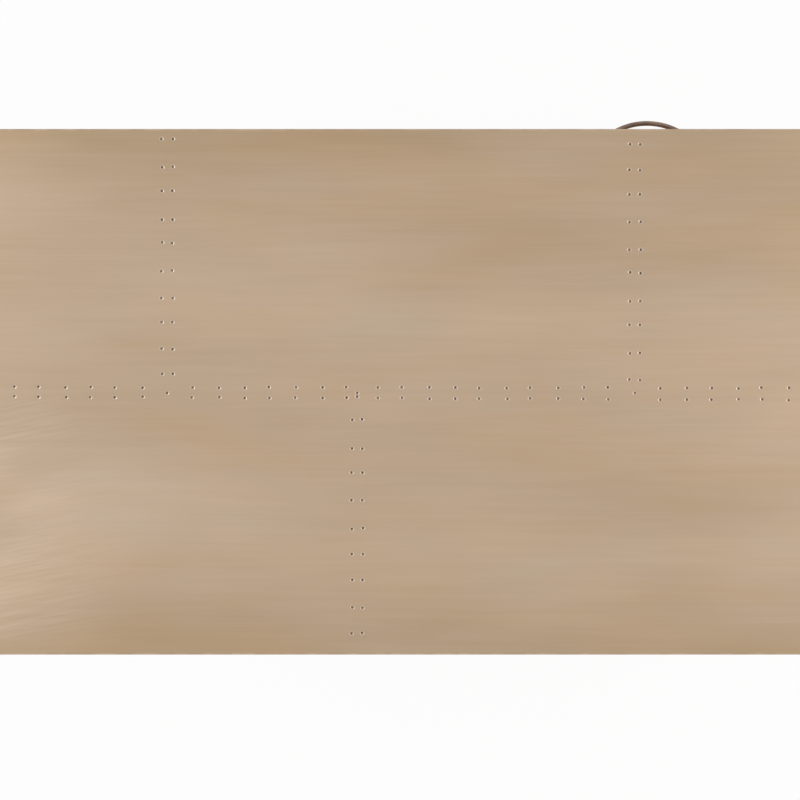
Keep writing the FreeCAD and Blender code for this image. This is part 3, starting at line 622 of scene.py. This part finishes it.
# %% Finishes of boards and fittings
CORE_WOOD = (srgb(84, 56, 34), srgb(134, 96, 62), 0.42)
DRAWER_WOOD = (srgb(186, 146, 100), srgb(220, 186, 140), 0.50, drawer_rims)
core_along_x = board("core_board_x", 0, *CORE_WOOD)
core_along_z = board("core_board_z", 2, *CORE_WOOD)
drawer_along_x = board("drawer_board_x", 0, *DRAWER_WOOD)
drawer_along_y = board("drawer_board_y", 1, *DRAWER_WOOD)
zinc_plate = plated("zinc_plate", srgb(186, 188, 192), 7 * MM, 0.30)
screw_metal = plated("screw_metal", srgb(150, 146, 140), 3 * MM, 0.34)
print("finishes in all:", len(bpy.data.materials))

# %% [markdown]
# ## From arrays to pieces
# Every new piece is worked out as arrays of points and faces. The parts of a piece, such as a flat and
# its bends, are laid into one list and welded where their points meet. Edges sharper than a limit stay
# crisp, the rest is shaded smooth.

# %% Weld arrays into a piece
WELD = 0.001 * MM
CRISP = math.radians(40)


def body_of(node):
    """The body that carries a CAD node."""
    return next(name for name, nodes in frame["record"]["behaviour"]["bodies"].items() if node in nodes)


class Soup:
    """Points and faces of a piece in the making, before they are welded."""

    def __init__(self):
        self.points = []
        self.faces = []
        self.marks = {"dent": [], "rub": []}
        self.count = 0

    def add(self, points, faces, dent=0.0, rub=0.0):
        """Points and faces, with each point's share of a dent and how much it is rubbed."""
        points = points.reshape(-1, 3)
        self.points.append(points)
        self.faces += (faces + self.count).tolist()
        for name, values in (("dent", dent), ("rub", rub)):
            self.marks[name].append(np.broadcast_to(np.ravel(values), len(points)))
        self.count += len(points)

    def add_grid(self, grid, rub=0.0):
        """A grid of points, as an array of rows by columns by 3, with a face between each four of them."""
        rub = np.broadcast_to(rub, grid.shape[:2])
        number = np.arange(rub.size).reshape(rub.shape)
        corners = [number[:-1, :-1], number[1:, :-1], number[1:, 1:], number[:-1, 1:]]
        self.add(grid, np.stack(corners, axis=-1).reshape(-1, 4), 0.0, rub)

    def piece(self, word, node, material, wall=None):
        """Weld the points, give a sheet its wall, and put the piece in the place of a CAD node."""
        name = word + "_" + node
        mesh = bpy.data.meshes.new(name)
        mesh.from_pydata(np.concatenate(self.points).tolist(), [], self.faces)
        for mark, values in self.marks.items():
            mesh.attributes.new(mark, "FLOAT", "POINT").data.foreach_set("value", np.concatenate(values))
        shell = bmesh.new()
        shell.from_mesh(mesh)
        bmesh.ops.remove_doubles(shell, verts=shell.verts, dist=WELD)
        if wall:
            bmesh.ops.solidify(shell, geom=list(shell.faces), thickness=wall)
        shell.to_mesh(mesh)
        shell.free()
        mesh.shade_smooth()
        mesh.set_sharp_from_angle(angle=CRISP)
        mesh.materials.append(material)
        made = placed(name, mesh)
        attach(made, body_of(node))
        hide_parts(node)
        print(name, len(mesh.polygons), "faces")


# %% [markdown]
# ## Where the nails are
# The solids hold every nail, so the places are read from there. A node's mesh is loose triangles: points
# at the same place are joined, and each nail is an island of triangles. The island's long side is the
# nail's axis, and most of its points are at the head.

# %% Nail spots
ROUND_TO = 6


def islands(mesh):
    """Distinct points of a mesh, and the number of the island that each belongs to.

    Each point starts with its own number, and takes the lowest number in its triangles until none changes.
    """
    points = np.empty(3 * len(mesh.vertices))
    mesh.vertices.foreach_get("co", points)
    corners = np.empty(len(mesh.loops), dtype=int)
    mesh.loops.foreach_get("vertex_index", corners)
    places, joined = np.unique(np.round(points.reshape(-1, 3), ROUND_TO), axis=0, return_inverse=True)
    triangles = joined.ravel()[corners].reshape(-1, 3)
    island = np.full(len(places), -1)
    lowest = np.arange(len(places))
    while (island != lowest).any():
        island = lowest.copy()
        np.minimum.at(lowest, triangles, island[triangles].min(axis=1)[:, None])
    return places, np.unique(island, return_inverse=True)[1]


def nail_spots(node):
    """Crown points and outward directions of a node's nails, one row each."""
    places, member = islands(frame["nodes"][node].data)
    count = np.bincount(member)
    low, high, total = (np.full((len(count), 3), start) for start in (np.inf, -np.inf, 0.0))
    np.minimum.at(low, member, places)
    np.maximum.at(high, member, places)
    np.add.at(total, member, places)
    centre = (low + high) / 2
    lean = total / count[:, None] - centre
    axis = np.argmax(high - low, axis=1)[:, None]
    way = np.where(np.arange(3) == axis, np.sign(lean), 0.0)
    return centre + way * (high - low) / 2, way


NAIL_NODES = [name for name in frame["nodes"] if name.endswith("nails")]
spots = {name: nail_spots(name) for name in NAIL_NODES}
print("nails:", {name: len(crown) for name, (crown, way) in spots.items()})

# %% [markdown]
# ## Dents
# A nail draws the sheet into a small round dent with a flat floor and a soft rim. Its depth is a formula
# of the distance to the nearest nail. A grid fine enough for hundreds of dents would need far too many
# faces, so a flat has rings of points round each nail and a wide lattice between, joined by Delaunay
# triangles.

# %% Dented flats
DENT_DEPTH = 0.5 * MM
DENT_FLOOR = 1.8 * MM
DENT_RIM = 3.6 * MM
RING_RADII = np.array([0.0, 1.0, 1.8, 2.1, 2.4, 2.7, 3.0, 3.3, 3.6, 4.4]) * MM
RING_POINTS = 20
RING_CLEAR = 5.4 * MM
RING_MARGIN = 0.15 * MM
LATTICE = 15.0 * MM
EDGE_SUPPORT = 1.2 * MM
TOUCHING_MM = 1e-5


def nearest(points, nails):
    """Distance from each point to the nearest nail, without end if there is none."""
    return np.linalg.norm(points[:, None] - nails, axis=2).min(axis=1, initial=np.inf)


def dent_share(points, nails):
    """Share of the full dent: 1 to the floor's radius, then half a cosine wave down to 0 at the rim."""
    past_floor = (nearest(points, nails) - DENT_FLOOR) / (DENT_RIM - DENT_FLOOR)
    return 0.5 + 0.5 * np.cos(math.pi * np.clip(past_floor, 0, 1))


def lattice(low, high, pitch=LATTICE):
    """Even places from low to high, and one a little inside each end that keeps the flat flat."""
    even = np.linspace(low, high, max(2, round((high - low) / pitch) + 1))
    return np.unique(np.concatenate([even, [low + EDGE_SUPPORT, high - EDGE_SUPPORT]]))


def ring_points(nails):
    """Points on circles round each nail."""
    turn = np.linspace(0, 2 * math.pi, RING_POINTS, endpoint=False)
    circle = np.stack([np.cos(turn), np.sin(turn)], axis=1)
    rings = nails[:, None, None] + RING_RADII[1:, None, None] * circle
    return np.concatenate([nails, rings.reshape(-1, 2)])


# %% Points and triangles of a flat
def ring_crossings(nails, axis, edge, low, high):
    """Places where rings cross a border line: along it by the root of radius squared less gap squared."""
    near = nails[np.abs(nails[:, axis] - edge) < RING_RADII[-1]]
    half = RING_RADII ** 2 - (near[:, axis, None] - edge) ** 2
    step = np.sqrt(np.clip(half, 0, None))
    middle = near[:, 1 - axis, None]
    along = np.concatenate([(middle - step)[half > 0], (middle + step)[half > 0]])
    along = along[(along > low + RING_MARGIN) & (along < high - RING_MARGIN)]
    return np.insert(along[:, None], axis, edge, axis=1)


def crossed(first, second):
    """A grid of points: every value of the first list with every value of the second."""
    return np.stack(np.meshgrid(first, second, indexing="ij"), axis=-1)


def strewn(a_lines, b_lines, nails):
    """Points over a rectangle: lattice, nail rings, and the places where rings cross the border."""
    wide = crossed(a_lines, b_lines).reshape(-1, 2)
    low, high = wide[0], wide[-1]
    corner = ((wide == low) | (wide == high)).all(axis=1)
    rings = ring_points(nails)
    inside = ((rings > low + RING_MARGIN) & (rings < high - RING_MARGIN)).all(axis=1)
    parts = [wide[corner | (nearest(wide, nails) > RING_CLEAR)], rings[inside]]
    for axis in (0, 1):
        for edge in (low[axis], high[axis]):
            parts.append(ring_crossings(nails, axis, edge, low[1 - axis], high[1 - axis]))
    return np.concatenate(parts)


def triangulated(points):
    """Delaunay triangles of points in a plane, turned the same way round as the plane's own axes."""
    flat = [Vector(point) for point in (points / MM).tolist()]
    places, edges, faces, origins, edge_ids, face_ids = delaunay_2d_cdt(flat, [], [], 0, TOUCHING_MM)
    first = np.array([ids[0] for ids in origins])
    return first[np.array(faces)]


# %% [markdown]
# ## Round the folded border
# A sheet folds over some of its four sides: b0 and b1 are the low and high ends of its up axis, a0 and a1
# those of its across axis. Sides that meet at a corner fold as one run, and a run of four goes all round.
# Along a run every border point has an outward direction, and at a corner the direction makes a quarter
# turn on the spot.

# %% Folded borders
TRAVEL = {"b0": (0, -1), "a1": (1, 0), "b1": (0, 1), "a0": (-1, 0)}
BEND_STEPS = 6


def fold_columns(run, a_lines, b_lines):
    """Points on the folded border in order, and the outward direction at each, with arcs at the corners."""
    grid = crossed(a_lines, b_lines)
    sides = {"b0": grid[:, 0], "a1": grid[-1], "b1": grid[::-1, -1], "a0": grid[0, ::-1]}
    bases = []
    ways = []
    for number, side in enumerate(run + run[:1] if len(run) == len(TRAVEL) else run):
        base = sides[side]
        way = np.array(TRAVEL[side], dtype=float)
        if number:
            start = math.atan2(way[1], way[0]) - math.pi / 2
            turn = start + np.linspace(0, math.pi / 2, BEND_STEPS + 1)[1:-1]
            bases.append(np.repeat(base[:1], len(turn), axis=0))
            ways.append(np.stack([np.cos(turn), np.sin(turn)], axis=1))
        if number == len(run):
            base = base[:1]
        bases.append(base)
        ways.append(np.repeat(way[None], len(base), axis=0))
    return np.concatenate(bases), np.concatenate(ways)


# %% [markdown]
# ## A sheet in its own axes
# The same rules make the top, the sides of the pedestal and the drawer fronts. So each sheet is worked
# out in its own axes, across and up on its face and out of it, and is turned into place only at the end.
# In the same axes its nails are told apart: some stand in the face, others in a folded side.

# %% A sheet in its own axes
SHEET_WALL = 1.0 * MM
NAIL_SINK = 0.1 * MM
FACING = 0.9


class Sheet:
    """A sheet's axes, its box in them, and its nails' places on the face plane and depths below it."""

    def __init__(self, node, nail_node, across, up):
        self.out = np.cross(across, up)
        self.axes = np.array([across, up])
        box = np.array([list(corner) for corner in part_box(node)])
        self.low, self.high = np.sort(box @ self.axes.T, axis=0)
        depths = np.sort(box @ self.out)
        self.face = depths[1]
        self.drop = depths[1] - depths[0]
        crown, self.way = spots[nail_node]
        spot = crown + NAIL_SINK * self.way
        self.places = spot @ self.axes.T
        self.below = self.face - spot @ self.out
        self.near = ((self.places > self.low - DENT_RIM) & (self.places < self.high + DENT_RIM)).all(axis=1)

    def face_nails(self):
        """Places of the nails that stand in the face."""
        return self.places[self.near & (self.way @ self.out > FACING) & (np.abs(self.below) < SHEET_WALL)]

    def side_nails(self, facing):
        """Which nails stand in the folded side that faces a direction."""
        side = np.where(facing > 0, self.high, self.low)
        in_side = np.abs((self.places - side) @ np.abs(facing)) < SHEET_WALL
        turned = self.way @ self.axes.T @ facing > FACING
        return self.near & turned & in_side & (self.below > 0) & (self.below < self.drop)

    def lifted(self, points, down):
        """Places in space of points on the face plane that lie some way below it."""
        return points @ self.axes + (self.face - down)[..., None] * self.out


# %% [markdown]
# ## The parts of a sheet
# A sheet is a dented flat, a bend along each fold, a dented flange, and on the top a second bend and a
# lip under the board. The flange is unrolled for its dents, as way along the border against depth, and
# wrapped back. Bends are rubbed all over, and the flats beside them over a short reach.

# %% Flat and bends
RUB_REACH = EDGE_SUPPORT


def rubbed(gap):
    """Rubbing beside a fold: 1 on it, and evenly less to 0 at a short reach."""
    return np.clip(1 - gap / RUB_REACH, 0, 1)


def lay_flat(soup, sheet, a_lines, b_lines, folded):
    """The dented flat, rubbed beside its folds."""
    nails = sheet.face_nails()
    points = strewn(a_lines, b_lines, nails)
    share = dent_share(points, nails)
    reach = points @ np.array([TRAVEL[side] for side in folded]).reshape(-1, 2).T
    to_fold = (reach.max(axis=0) - reach).min(axis=1, initial=np.inf)
    soup.add(sheet.lifted(points, share * DENT_DEPTH), triangulated(points), share, rubbed(to_fold))


def lay_bend(soup, sheet, base, turn, reach, down):
    """A bend: every border point moved outward by reach and down, one row for each step of the bend."""
    grid = base + reach[:, None, None] * turn
    soup.add_grid(sheet.lifted(grid, np.repeat(down[:, None], len(base), axis=1)), 1.0)


# %% Flange
FLANGE_PITCH = 5.0 * MM
OUTER_ROWS = [0, 1, -2, -1]
STRAIGHT = 1 - 1e-9


def flange_seats(sheet, run, base, turn, travel):
    """Nails of the folded sides, as way along the unrolled border and height over the face."""
    seats = [np.empty((0, 2))]
    for side in run:
        facing = np.array(TRAVEL[side], dtype=float)
        nails = sheet.side_nails(facing)
        straight = np.where((turn == facing).all(axis=1))[0]
        course = np.array([-facing[1], facing[0]])
        along = np.interp(sheet.places[nails] @ course, base[straight] @ course, travel[straight])
        seats.append(np.stack([along, -sheet.below[nails]], axis=1))
    return np.concatenate(seats)


def lay_flange(soup, sheet, run, base, turn, bend, end, lip):
    """The dented flange from the bend's depth to its end: border point + (bend radius - dent) * outward.

    Columns are full near corners and ends. Elsewhere the outer rows and the rings round the nails do.
    """
    ways = np.linalg.norm(np.diff(base + bend * turn, axis=0), axis=1)
    travel = np.append(0, np.cumsum(ways))
    seats = flange_seats(sheet, run, base, turn, travel)
    bent = np.abs(turn).max(axis=1) < STRAIGHT
    full = np.any([np.roll(bent, step) for step in range(-2, 3)], axis=0)
    full[OUTER_ROWS] = True
    rows = -lattice(bend, end, FLANGE_PITCH)
    border = crossed(travel, rows)[full[:, None] | np.isin(rows, rows[OUTER_ROWS])]
    rings = ring_points(seats)
    around = (rings[:, 0] > RING_RADII[1]) & (rings[:, 0] < travel[-1] - RING_RADII[1])
    points = np.concatenate([border, rings[around]])
    share = dent_share(points, seats)

    spread = [np.interp(points[:, 0], travel, column) for column in (*base.T, *turn.T)]
    outward = (bend - share * DENT_DEPTH)[:, None] * np.stack(spread[2:], axis=1)
    down = -points[:, 1]
    to_fold = np.minimum(down - bend, end - down if lip else np.inf)
    if bent.any():
        to_fold = np.minimum(to_fold, np.abs(points[:, :1] - travel[bent]).min(axis=1))
    flange = sheet.lifted(np.stack(spread[:2], axis=1) + outward, down)
    soup.add(flange, triangulated(points), share, rubbed(to_fold))


# %% Lip and whole sheet
def lay_lip(soup, sheet, base, a_lines, b_lines, folded, tuck):
    """The flat lip under the board: the border, and the same points drawn in by the tuck."""
    start = np.array([a_lines[0] + tuck * ("a0" in folded), b_lines[0] + tuck * ("b0" in folded)])
    stop = np.array([a_lines[-1] - tuck * ("a1" in folded), b_lines[-1] - tuck * ("b1" in folded)])
    tucked = np.stack([base, np.clip(base, start, stop)])
    soup.add_grid(sheet.lifted(tucked, np.full(tucked.shape[:2], sheet.drop)))


def clad_sheet(node, nail_node, across, up, runs, material, bend, lip=0.0, grow=0.0):
    """A dented sheet on the face that across and up span, folded over the sides that the runs name.

    First bend: out = r sin t, down = r (1 - cos t). Second bend: out = r cos t, down = end + r sin t.
    The sides that aren't folded grow a little into the seam.
    """
    sheet = Sheet(node, nail_node, across, up)
    folded = [side for run in runs for side in run]
    inset = {side: bend if side in folded else -grow for side in TRAVEL}
    a_lines = lattice(sheet.low[0] + inset["a0"], sheet.high[0] - inset["a1"])
    b_lines = lattice(sheet.low[1] + inset["b0"], sheet.high[1] - inset["b1"])
    quarter = np.linspace(0, math.pi / 2, BEND_STEPS + 1)
    end = sheet.drop - bend if lip else sheet.drop
    soup = Soup()
    lay_flat(soup, sheet, a_lines, b_lines, folded)
    for run in runs:
        base, turn = fold_columns(run, a_lines, b_lines)
        lay_bend(soup, sheet, base, turn, bend * np.sin(quarter), bend * (1 - np.cos(quarter)))
        lay_flange(soup, sheet, run, base, turn, bend, end, lip)
        if lip:
            lay_bend(soup, sheet, base, turn, bend * np.cos(quarter), end + bend * np.sin(quarter))
            lay_lip(soup, sheet, base, a_lines, b_lines, folded, lip - bend)
    soup.piece("clad", node, material, SHEET_WALL)


# %% [markdown]
# ## The sheets of the top
# Three sheets make the front row and two the back row. Each folds over the edges of the top that it
# reaches, and tucks under the core by a finger's width. At the seams they grow by a hair, so that a seam
# shows as the fine line that it is in the photograph.

# %% Top sheets
TOP_BEND = 2.5 * MM
UNDER_LIP = 10.0 * MM
SEAM_GROWTH = 0.02 * MM
RIGHT, BACK, UP = np.eye(3)
LEFT, FRONT = -RIGHT, -BACK
TOP_FOLDS = {
    "front_left": ["a0", "b0"],
    "front_middle": ["b0"],
    "front_right": ["b0", "a1"],
    "back_left": ["b1", "a0"],
    "back_right": ["a1", "b1"],
}
for place, run in TOP_FOLDS.items():
    clad_sheet("top_sheet_" + place, "top_nails", RIGHT, BACK, [run], brass_along_x,
               TOP_BEND, UNDER_LIP, SEAM_GROWTH)

# %% [markdown]
# ## The sheets of the pedestal and the drawers
# The side sheets wrap round the front and back edges of the boards, the back sheet lies between them, and
# each drawer front is a shallow tray of brass over its board. They are the same kind of sheet, seen along
# other axes.

# %% Case and drawer sheets
SMALL_BEND = 2.0 * MM
CASE_FOLDS = {
    "case_outer_sheet": (FRONT, [["a1"], ["a0"]], brass_along_y),
    "case_inner_sheet": (BACK, [["a1"], ["a0"]], brass_along_y),
    "case_back_sheet": (LEFT, [], brass_along_x),
}
for node, (across, runs, material) in CASE_FOLDS.items():
    clad_sheet(node, "case_nails", across, UP, runs, material, SMALL_BEND)
for drawer in DRAWERS:
    face = drawer + "_drawer_face_"
    clad_sheet(face + "sheet", face + "nails", RIGHT, UP, [list(TRAVEL)], brass_along_x, SMALL_BEND)

# %% [markdown]
# ## Nail heads
# A nail head is a low dome on the floor of its dent, just below the sheet's face. There are hundreds, so
# each has a few dozen faces: rings of a turned profile, worked out for all the spots at once.

# %% Nail heads
HEAD_PROFILE = np.array([(0.0, -0.45), (1.6, -0.45), (1.6, -0.22), (1.35, -0.10), (0.75, -0.02),
                         (0.0, 0.0)]) * MM
HEAD_POINTS = 9


def turned_rings(profile, points, base, way):
    """A profile of (radius, height) turned about lines that start at base and run along way.

    Point = base + height * way + radius * (cos t * side + sin t * other), for every line at once.
    """
    way = np.reshape(way, (-1, 3))
    base = np.reshape(base, (-1, 3))
    side = np.where(np.abs(way[:, 2:]) > FACING, [[1.0, 0.0, 0.0]], [[0.0, 0.0, 1.0]])
    other = np.cross(way, side)
    turn = np.linspace(0, 2 * math.pi, points + 1)
    circle = np.cos(turn)[:, None, None] * side + np.sin(turn)[:, None, None] * other
    radius, height = profile.T[:, :, None, None, None]
    return (base + height * way + radius * circle).transpose(2, 1, 0, 3)


for node in NAIL_NODES:
    soup = Soup()
    for head in turned_rings(HEAD_PROFILE, HEAD_POINTS, *spots[node]):
        soup.add_grid(head)
    soup.piece("heads", node, nail_tarnish)

# %% [markdown]
# ## Bowed pulls
# A pull is a bar bent to an arc of a circle that lands on two turned feet. The section is a superellipse
# with soft corners, a little taller in the middle, where the fingers hold it and rub it most. A bevelled
# curve scales its section only as a whole, so the bar is a grid: the arc is one parameter and the way
# round the section is the other.

# %% Pulls
PULL_OUTER_R = 102.5 * MM
PULL_BAR = 7.0 * MM
PULL_BAR_HEIGHT = 12.0 * MM
PULL_CENTRES = 128.0 * MM
PULL_PAST_FOOT = 4.0 * MM
PULL_FOOT = np.array([(0.0, 0.0), (10.0, 0.0), (10.0, 1.1), (9.6, 1.5), (8.9, 1.7), (8.7, 2.1), (8.9, 2.5),
                      (9.3, 2.9), (9.35, 3.6), (9.0, 4.4), (8.6, 5.6), (8.35, 7.0), (7.9, 8.1), (6.8, 8.9),
                      (4.6, 9.4), (0.0, 9.6)]) * MM
PULL_FOOT_POINTS = 32
SECTION_POWER = 3.2
SECTION_POINTS = 29
ARC_POINTS = 49
END_TAPER = 0.16
END_CLOSING = 0.85
END_RUB_LOSS = 0.6
CORNER_RUB_START = 0.35
CORNER_RUB_RISE = 0.3
RIM_TURN = math.radians(30)


def rim_rub(profile):
    """Rubbing of a turned profile: how far it turns outward at each point, as a share of RIM_TURN."""
    run = np.diff(profile, axis=0)
    way = np.arctan2(run[:, 0], run[:, 1])
    rub = np.zeros(len(profile))
    rub[1:-1] = np.clip((way[:-1] - way[1:]) / RIM_TURN, 0, 1)
    return rub


def bowed_bar(centre, projection):
    """Points of the bar and how much each is rubbed.

    Point = arc point + half width * radial * c + half height * up * s, with c and s a superellipse's cosine
    and sine. The rubbing is large where c times s is, at the section's corners. Both ends of the arc are
    repeated with a smaller and an empty section, which closes the bar.
    """
    middle_r = PULL_OUTER_R - PULL_BAR / 2
    half_turn = math.asin((PULL_CENTRES / 2 + PULL_PAST_FOOT) / middle_r)
    share = np.pad(np.linspace(-1, 1, ARC_POINTS), 2, mode="edge")[:, None]
    swell = 1 - END_TAPER * share ** 2
    closing = np.concatenate([[0, END_CLOSING], np.ones(ARC_POINTS), [END_CLOSING, 0]])[:, None]
    turn = share * half_turn
    round_way = np.linspace(0, 2 * math.pi, SECTION_POINTS)[None, :]
    c, s = (np.sign(v) * np.abs(v) ** (2 / SECTION_POWER) for v in (np.cos(round_way), np.sin(round_way)))
    radius = middle_r + closing * c * PULL_BAR / 2
    height = swell * closing * s * PULL_BAR_HEIGHT / 2
    arc_y = PULL_OUTER_R - projection
    grid = np.stack([radius * np.sin(turn), arc_y - radius * np.cos(turn), height], axis=-1)
    at_corner = np.clip((np.abs(c * s) - CORNER_RUB_START) / CORNER_RUB_RISE, 0, 1)
    return grid + centre, (1 - END_RUB_LOSS * share ** 2) * at_corner


for drawer in DRAWERS:
    node = drawer + "_drawer_pull"
    low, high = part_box(node)
    centre = middle_of(node)
    centre[1] = high[1]
    soup = Soup()
    soup.add_grid(*bowed_bar(centre, high[1] - low[1]))
    for side in (LEFT, RIGHT):
        foot = turned_rings(PULL_FOOT, PULL_FOOT_POINTS, centre + PULL_CENTRES / 2 * side, FRONT)[0]
        soup.add_grid(foot, rim_rub(PULL_FOOT))
    soup.piece("bowed", node, pull_patina)

# %% [markdown]
# ## Lathe profiles
# The feet, the stretcher and the pivot bolt's head are turned on a lathe, so each is a profile of radius
# against height carried once round. A round stretch of it is a sine, a straight one is two points, and
# small steps make the quirks that a turner cuts beside a bead. Blender's Screw modifier turns a profile
# too. Here numpy does it, so that each point also gets its rubbing.

# %% Lathe profiles
LATHE_POINTS = 48


def bulge(start, end, low, high, rise, steps=12):
    """A profile from (low, start) to (high, end), plus half a sine wave of the given rise."""
    share = np.linspace(0, 1, steps + 1)
    return np.stack([low + (high - low) * share + rise * np.sin(math.pi * share),
                     start + (end - start) * share], axis=1)


def soft_disc(start, end, radius, inner_start, inner_end, ease):
    """A disc with eased rims: in from one radius, out to the disc, and in to another."""
    share = np.linspace(0, math.pi / 2, 5)
    first = np.stack([radius - ease + ease * np.sin(share), start + ease * (1 - np.cos(share))], axis=1)
    last = np.stack([radius - ease + ease * np.cos(share), end - ease + ease * np.sin(share)], axis=1)
    return np.concatenate([[(inner_start, start)], first, last, [(inner_end, end)]])


def joined(*stretches):
    """Stretches of a profile one after the other, without points that repeat."""
    profile = np.concatenate(stretches)
    return profile[np.append(True, (np.abs(np.diff(profile, axis=0)) > WELD).any(axis=1))]


def turned_piece(node, material, profile, places, way):
    """One profile turned about a line at each of the places."""
    soup = Soup()
    for place in places:
        soup.add_grid(turned_rings(profile, LATHE_POINTS, place, way)[0], rim_rub(profile))
    soup.piece("turned", node, material)


# %% [markdown]
# ## Feet
# Each foot of the pedestal is a bun on a narrow sole, with a quirk at its neck and a collar under the
# board. The four stand in the corners of the box of their solids.

# %% Feet
FOOT_R = 29.0 * MM
FOOT_BASE_R = 18.0 * MM
FOOT_NECK_R = 19.0 * MM
FOOT_COLLAR_R = 26.0 * MM
FOOT_COLLAR = 14.0 * MM
FOOT_EASE = 2.5 * MM
FOOT_BULGE = FOOT_R - (FOOT_BASE_R + FOOT_NECK_R) / 2
QUIRK_DEPTH = 1.5 * MM
QUIRK_R = FOOT_NECK_R - QUIRK_DEPTH
# How far under the collar the quirk starts, and where it is at its full depth
QUIRK_START = 3.0 * MM
QUIRK_FULL = 2.4 * MM

feet_low, feet_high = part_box("case_feet")
foot_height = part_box("case_bottom")[0][2]
neck = foot_height - FOOT_COLLAR
foot_profile = joined(
    [(0.0, 0.0)],
    bulge(0.0, neck - QUIRK_START, FOOT_BASE_R, FOOT_NECK_R, FOOT_BULGE, 24),
    [(QUIRK_R, neck - QUIRK_FULL), (QUIRK_R, neck)],
    soft_disc(neck, foot_height, FOOT_COLLAR_R, QUIRK_R, 0.0, FOOT_EASE),
)
feet = [(x, y, 0) for x in (feet_low[0] + FOOT_R, feet_high[0] - FOOT_R)
        for y in (feet_low[1] + FOOT_R, feet_high[1] - FOOT_R)]
turned_piece("case_feet", frame_patina, foot_profile, feet, UP)

# %% [markdown]
# ## Stretcher
# The stretcher runs from a flange on the pedestal to a collar at the crossing of the legs. A long bead
# marks its middle, and a short one stands near each end.

# %% Stretcher
BAR_R = 12.0 * MM
FLANGE_R = 34.0 * MM
FLANGE = 6.0 * MM
FLANGE_EASE = 1.5 * MM
COLLAR_R = 19.0 * MM
COLLAR = 14.0 * MM
COLLAR_EASE = 2.0 * MM
BEAD = 12.0 * MM
BEAD_RISE = 4.0 * MM

bar_low, bar_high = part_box("stretcher")
length = bar_high[0] - bar_low[0]
collar = length - COLLAR
bar_profile = joined(
    [(0.0, 0.0)],
    soft_disc(0.0, FLANGE, FLANGE_R, FLANGE_R - FLANGE_EASE, BAR_R, FLANGE_EASE),
    bulge(2 * BEAD, 3 * BEAD, BAR_R, BAR_R, BEAD_RISE),
    bulge(length / 2 - BEAD, length / 2 + BEAD, BAR_R, BAR_R, BEAD_RISE, 18),
    bulge(collar - 2 * BEAD, collar - BEAD, BAR_R, BAR_R, BEAD_RISE),
    soft_disc(collar, length, COLLAR_R, BAR_R, 0.0, COLLAR_EASE),
)
bar_start = (bar_low[0], *middle_of("stretcher")[1:])
turned_piece("stretcher", frame_patina, bar_profile, [bar_start], RIGHT)

# %% [markdown]
# ## Pivot bolt
# The bolt holds the legs at their crossing. Its head lies on the outer leg: a rim with eased edges, and a
# dome that rises from just inside it. Heights count from the leg's face, so the shank's are negative.

# %% Pivot bolt
BOLT_HEAD_R = 21.0 * MM
BOLT_R = 7.0 * MM
HEAD_RIM = 4.0 * MM
HEAD_EASE = 0.8 * MM
RIM_EASE = 0.6 * MM
DOME_INSET = 2.2 * MM
DOME_R = BOLT_HEAD_R - DOME_INSET

bolt_low, bolt_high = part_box("pivot_bolt")
head = bolt_high[0] - frame_right
tip = bolt_low[0] - frame_right
dome = np.linspace(0, math.pi / 2, 14)
head_profile = joined(
    [(0.0, tip), (BOLT_R, tip), (BOLT_R, 0.0), (BOLT_HEAD_R - HEAD_EASE, 0.0), (BOLT_HEAD_R, HEAD_EASE),
     (BOLT_HEAD_R, HEAD_RIM - RIM_EASE), (BOLT_HEAD_R - HEAD_EASE, HEAD_RIM), (DOME_R, HEAD_RIM)],
    np.stack([DOME_R * np.cos(dome), HEAD_RIM + (head - HEAD_RIM) * np.sin(dome)], axis=1),
)
bolt_start = (frame_right, *middle_of("pivot_bolt")[1:])
turned_piece("pivot_bolt", pull_patina, head_profile, [bolt_start], RIGHT)

# %% [markdown]
# ## Finishes of the solids that stay
# Boards, rails, legs, caps and screws have their right shape already, so they only get a finish. Wood
# gets the one whose grain runs the way that the board is cut.

# %% Finishes of the solids
# A node takes the first finish whose word is in its name
FINISHES = {
    "slide_": zinc_plate, "screws": screw_metal, "edge_strips": brass_along_x, "leg_caps": cap_brass,
    "leg_inner": inner_leg_patina, "leg_outer": outer_leg_patina,
    "left_side": drawer_along_y, "right_side": drawer_along_y,
    "drawer_back": drawer_along_x, "drawer_bottom": drawer_along_x,
    "outer_side": core_along_z, "inner_side": core_along_z, "case_back": core_along_z, "": core_along_x,
}
shown = {name: solid for name, solid in frame["nodes"].items() if not solid.hide_render}
for name, solid in shown.items():
    finish = next(FINISHES[word] for word in FINISHES if word in name)
    for place in solid.material_slots:
        place.material = finish
print("solids with a finish:", len(shown))
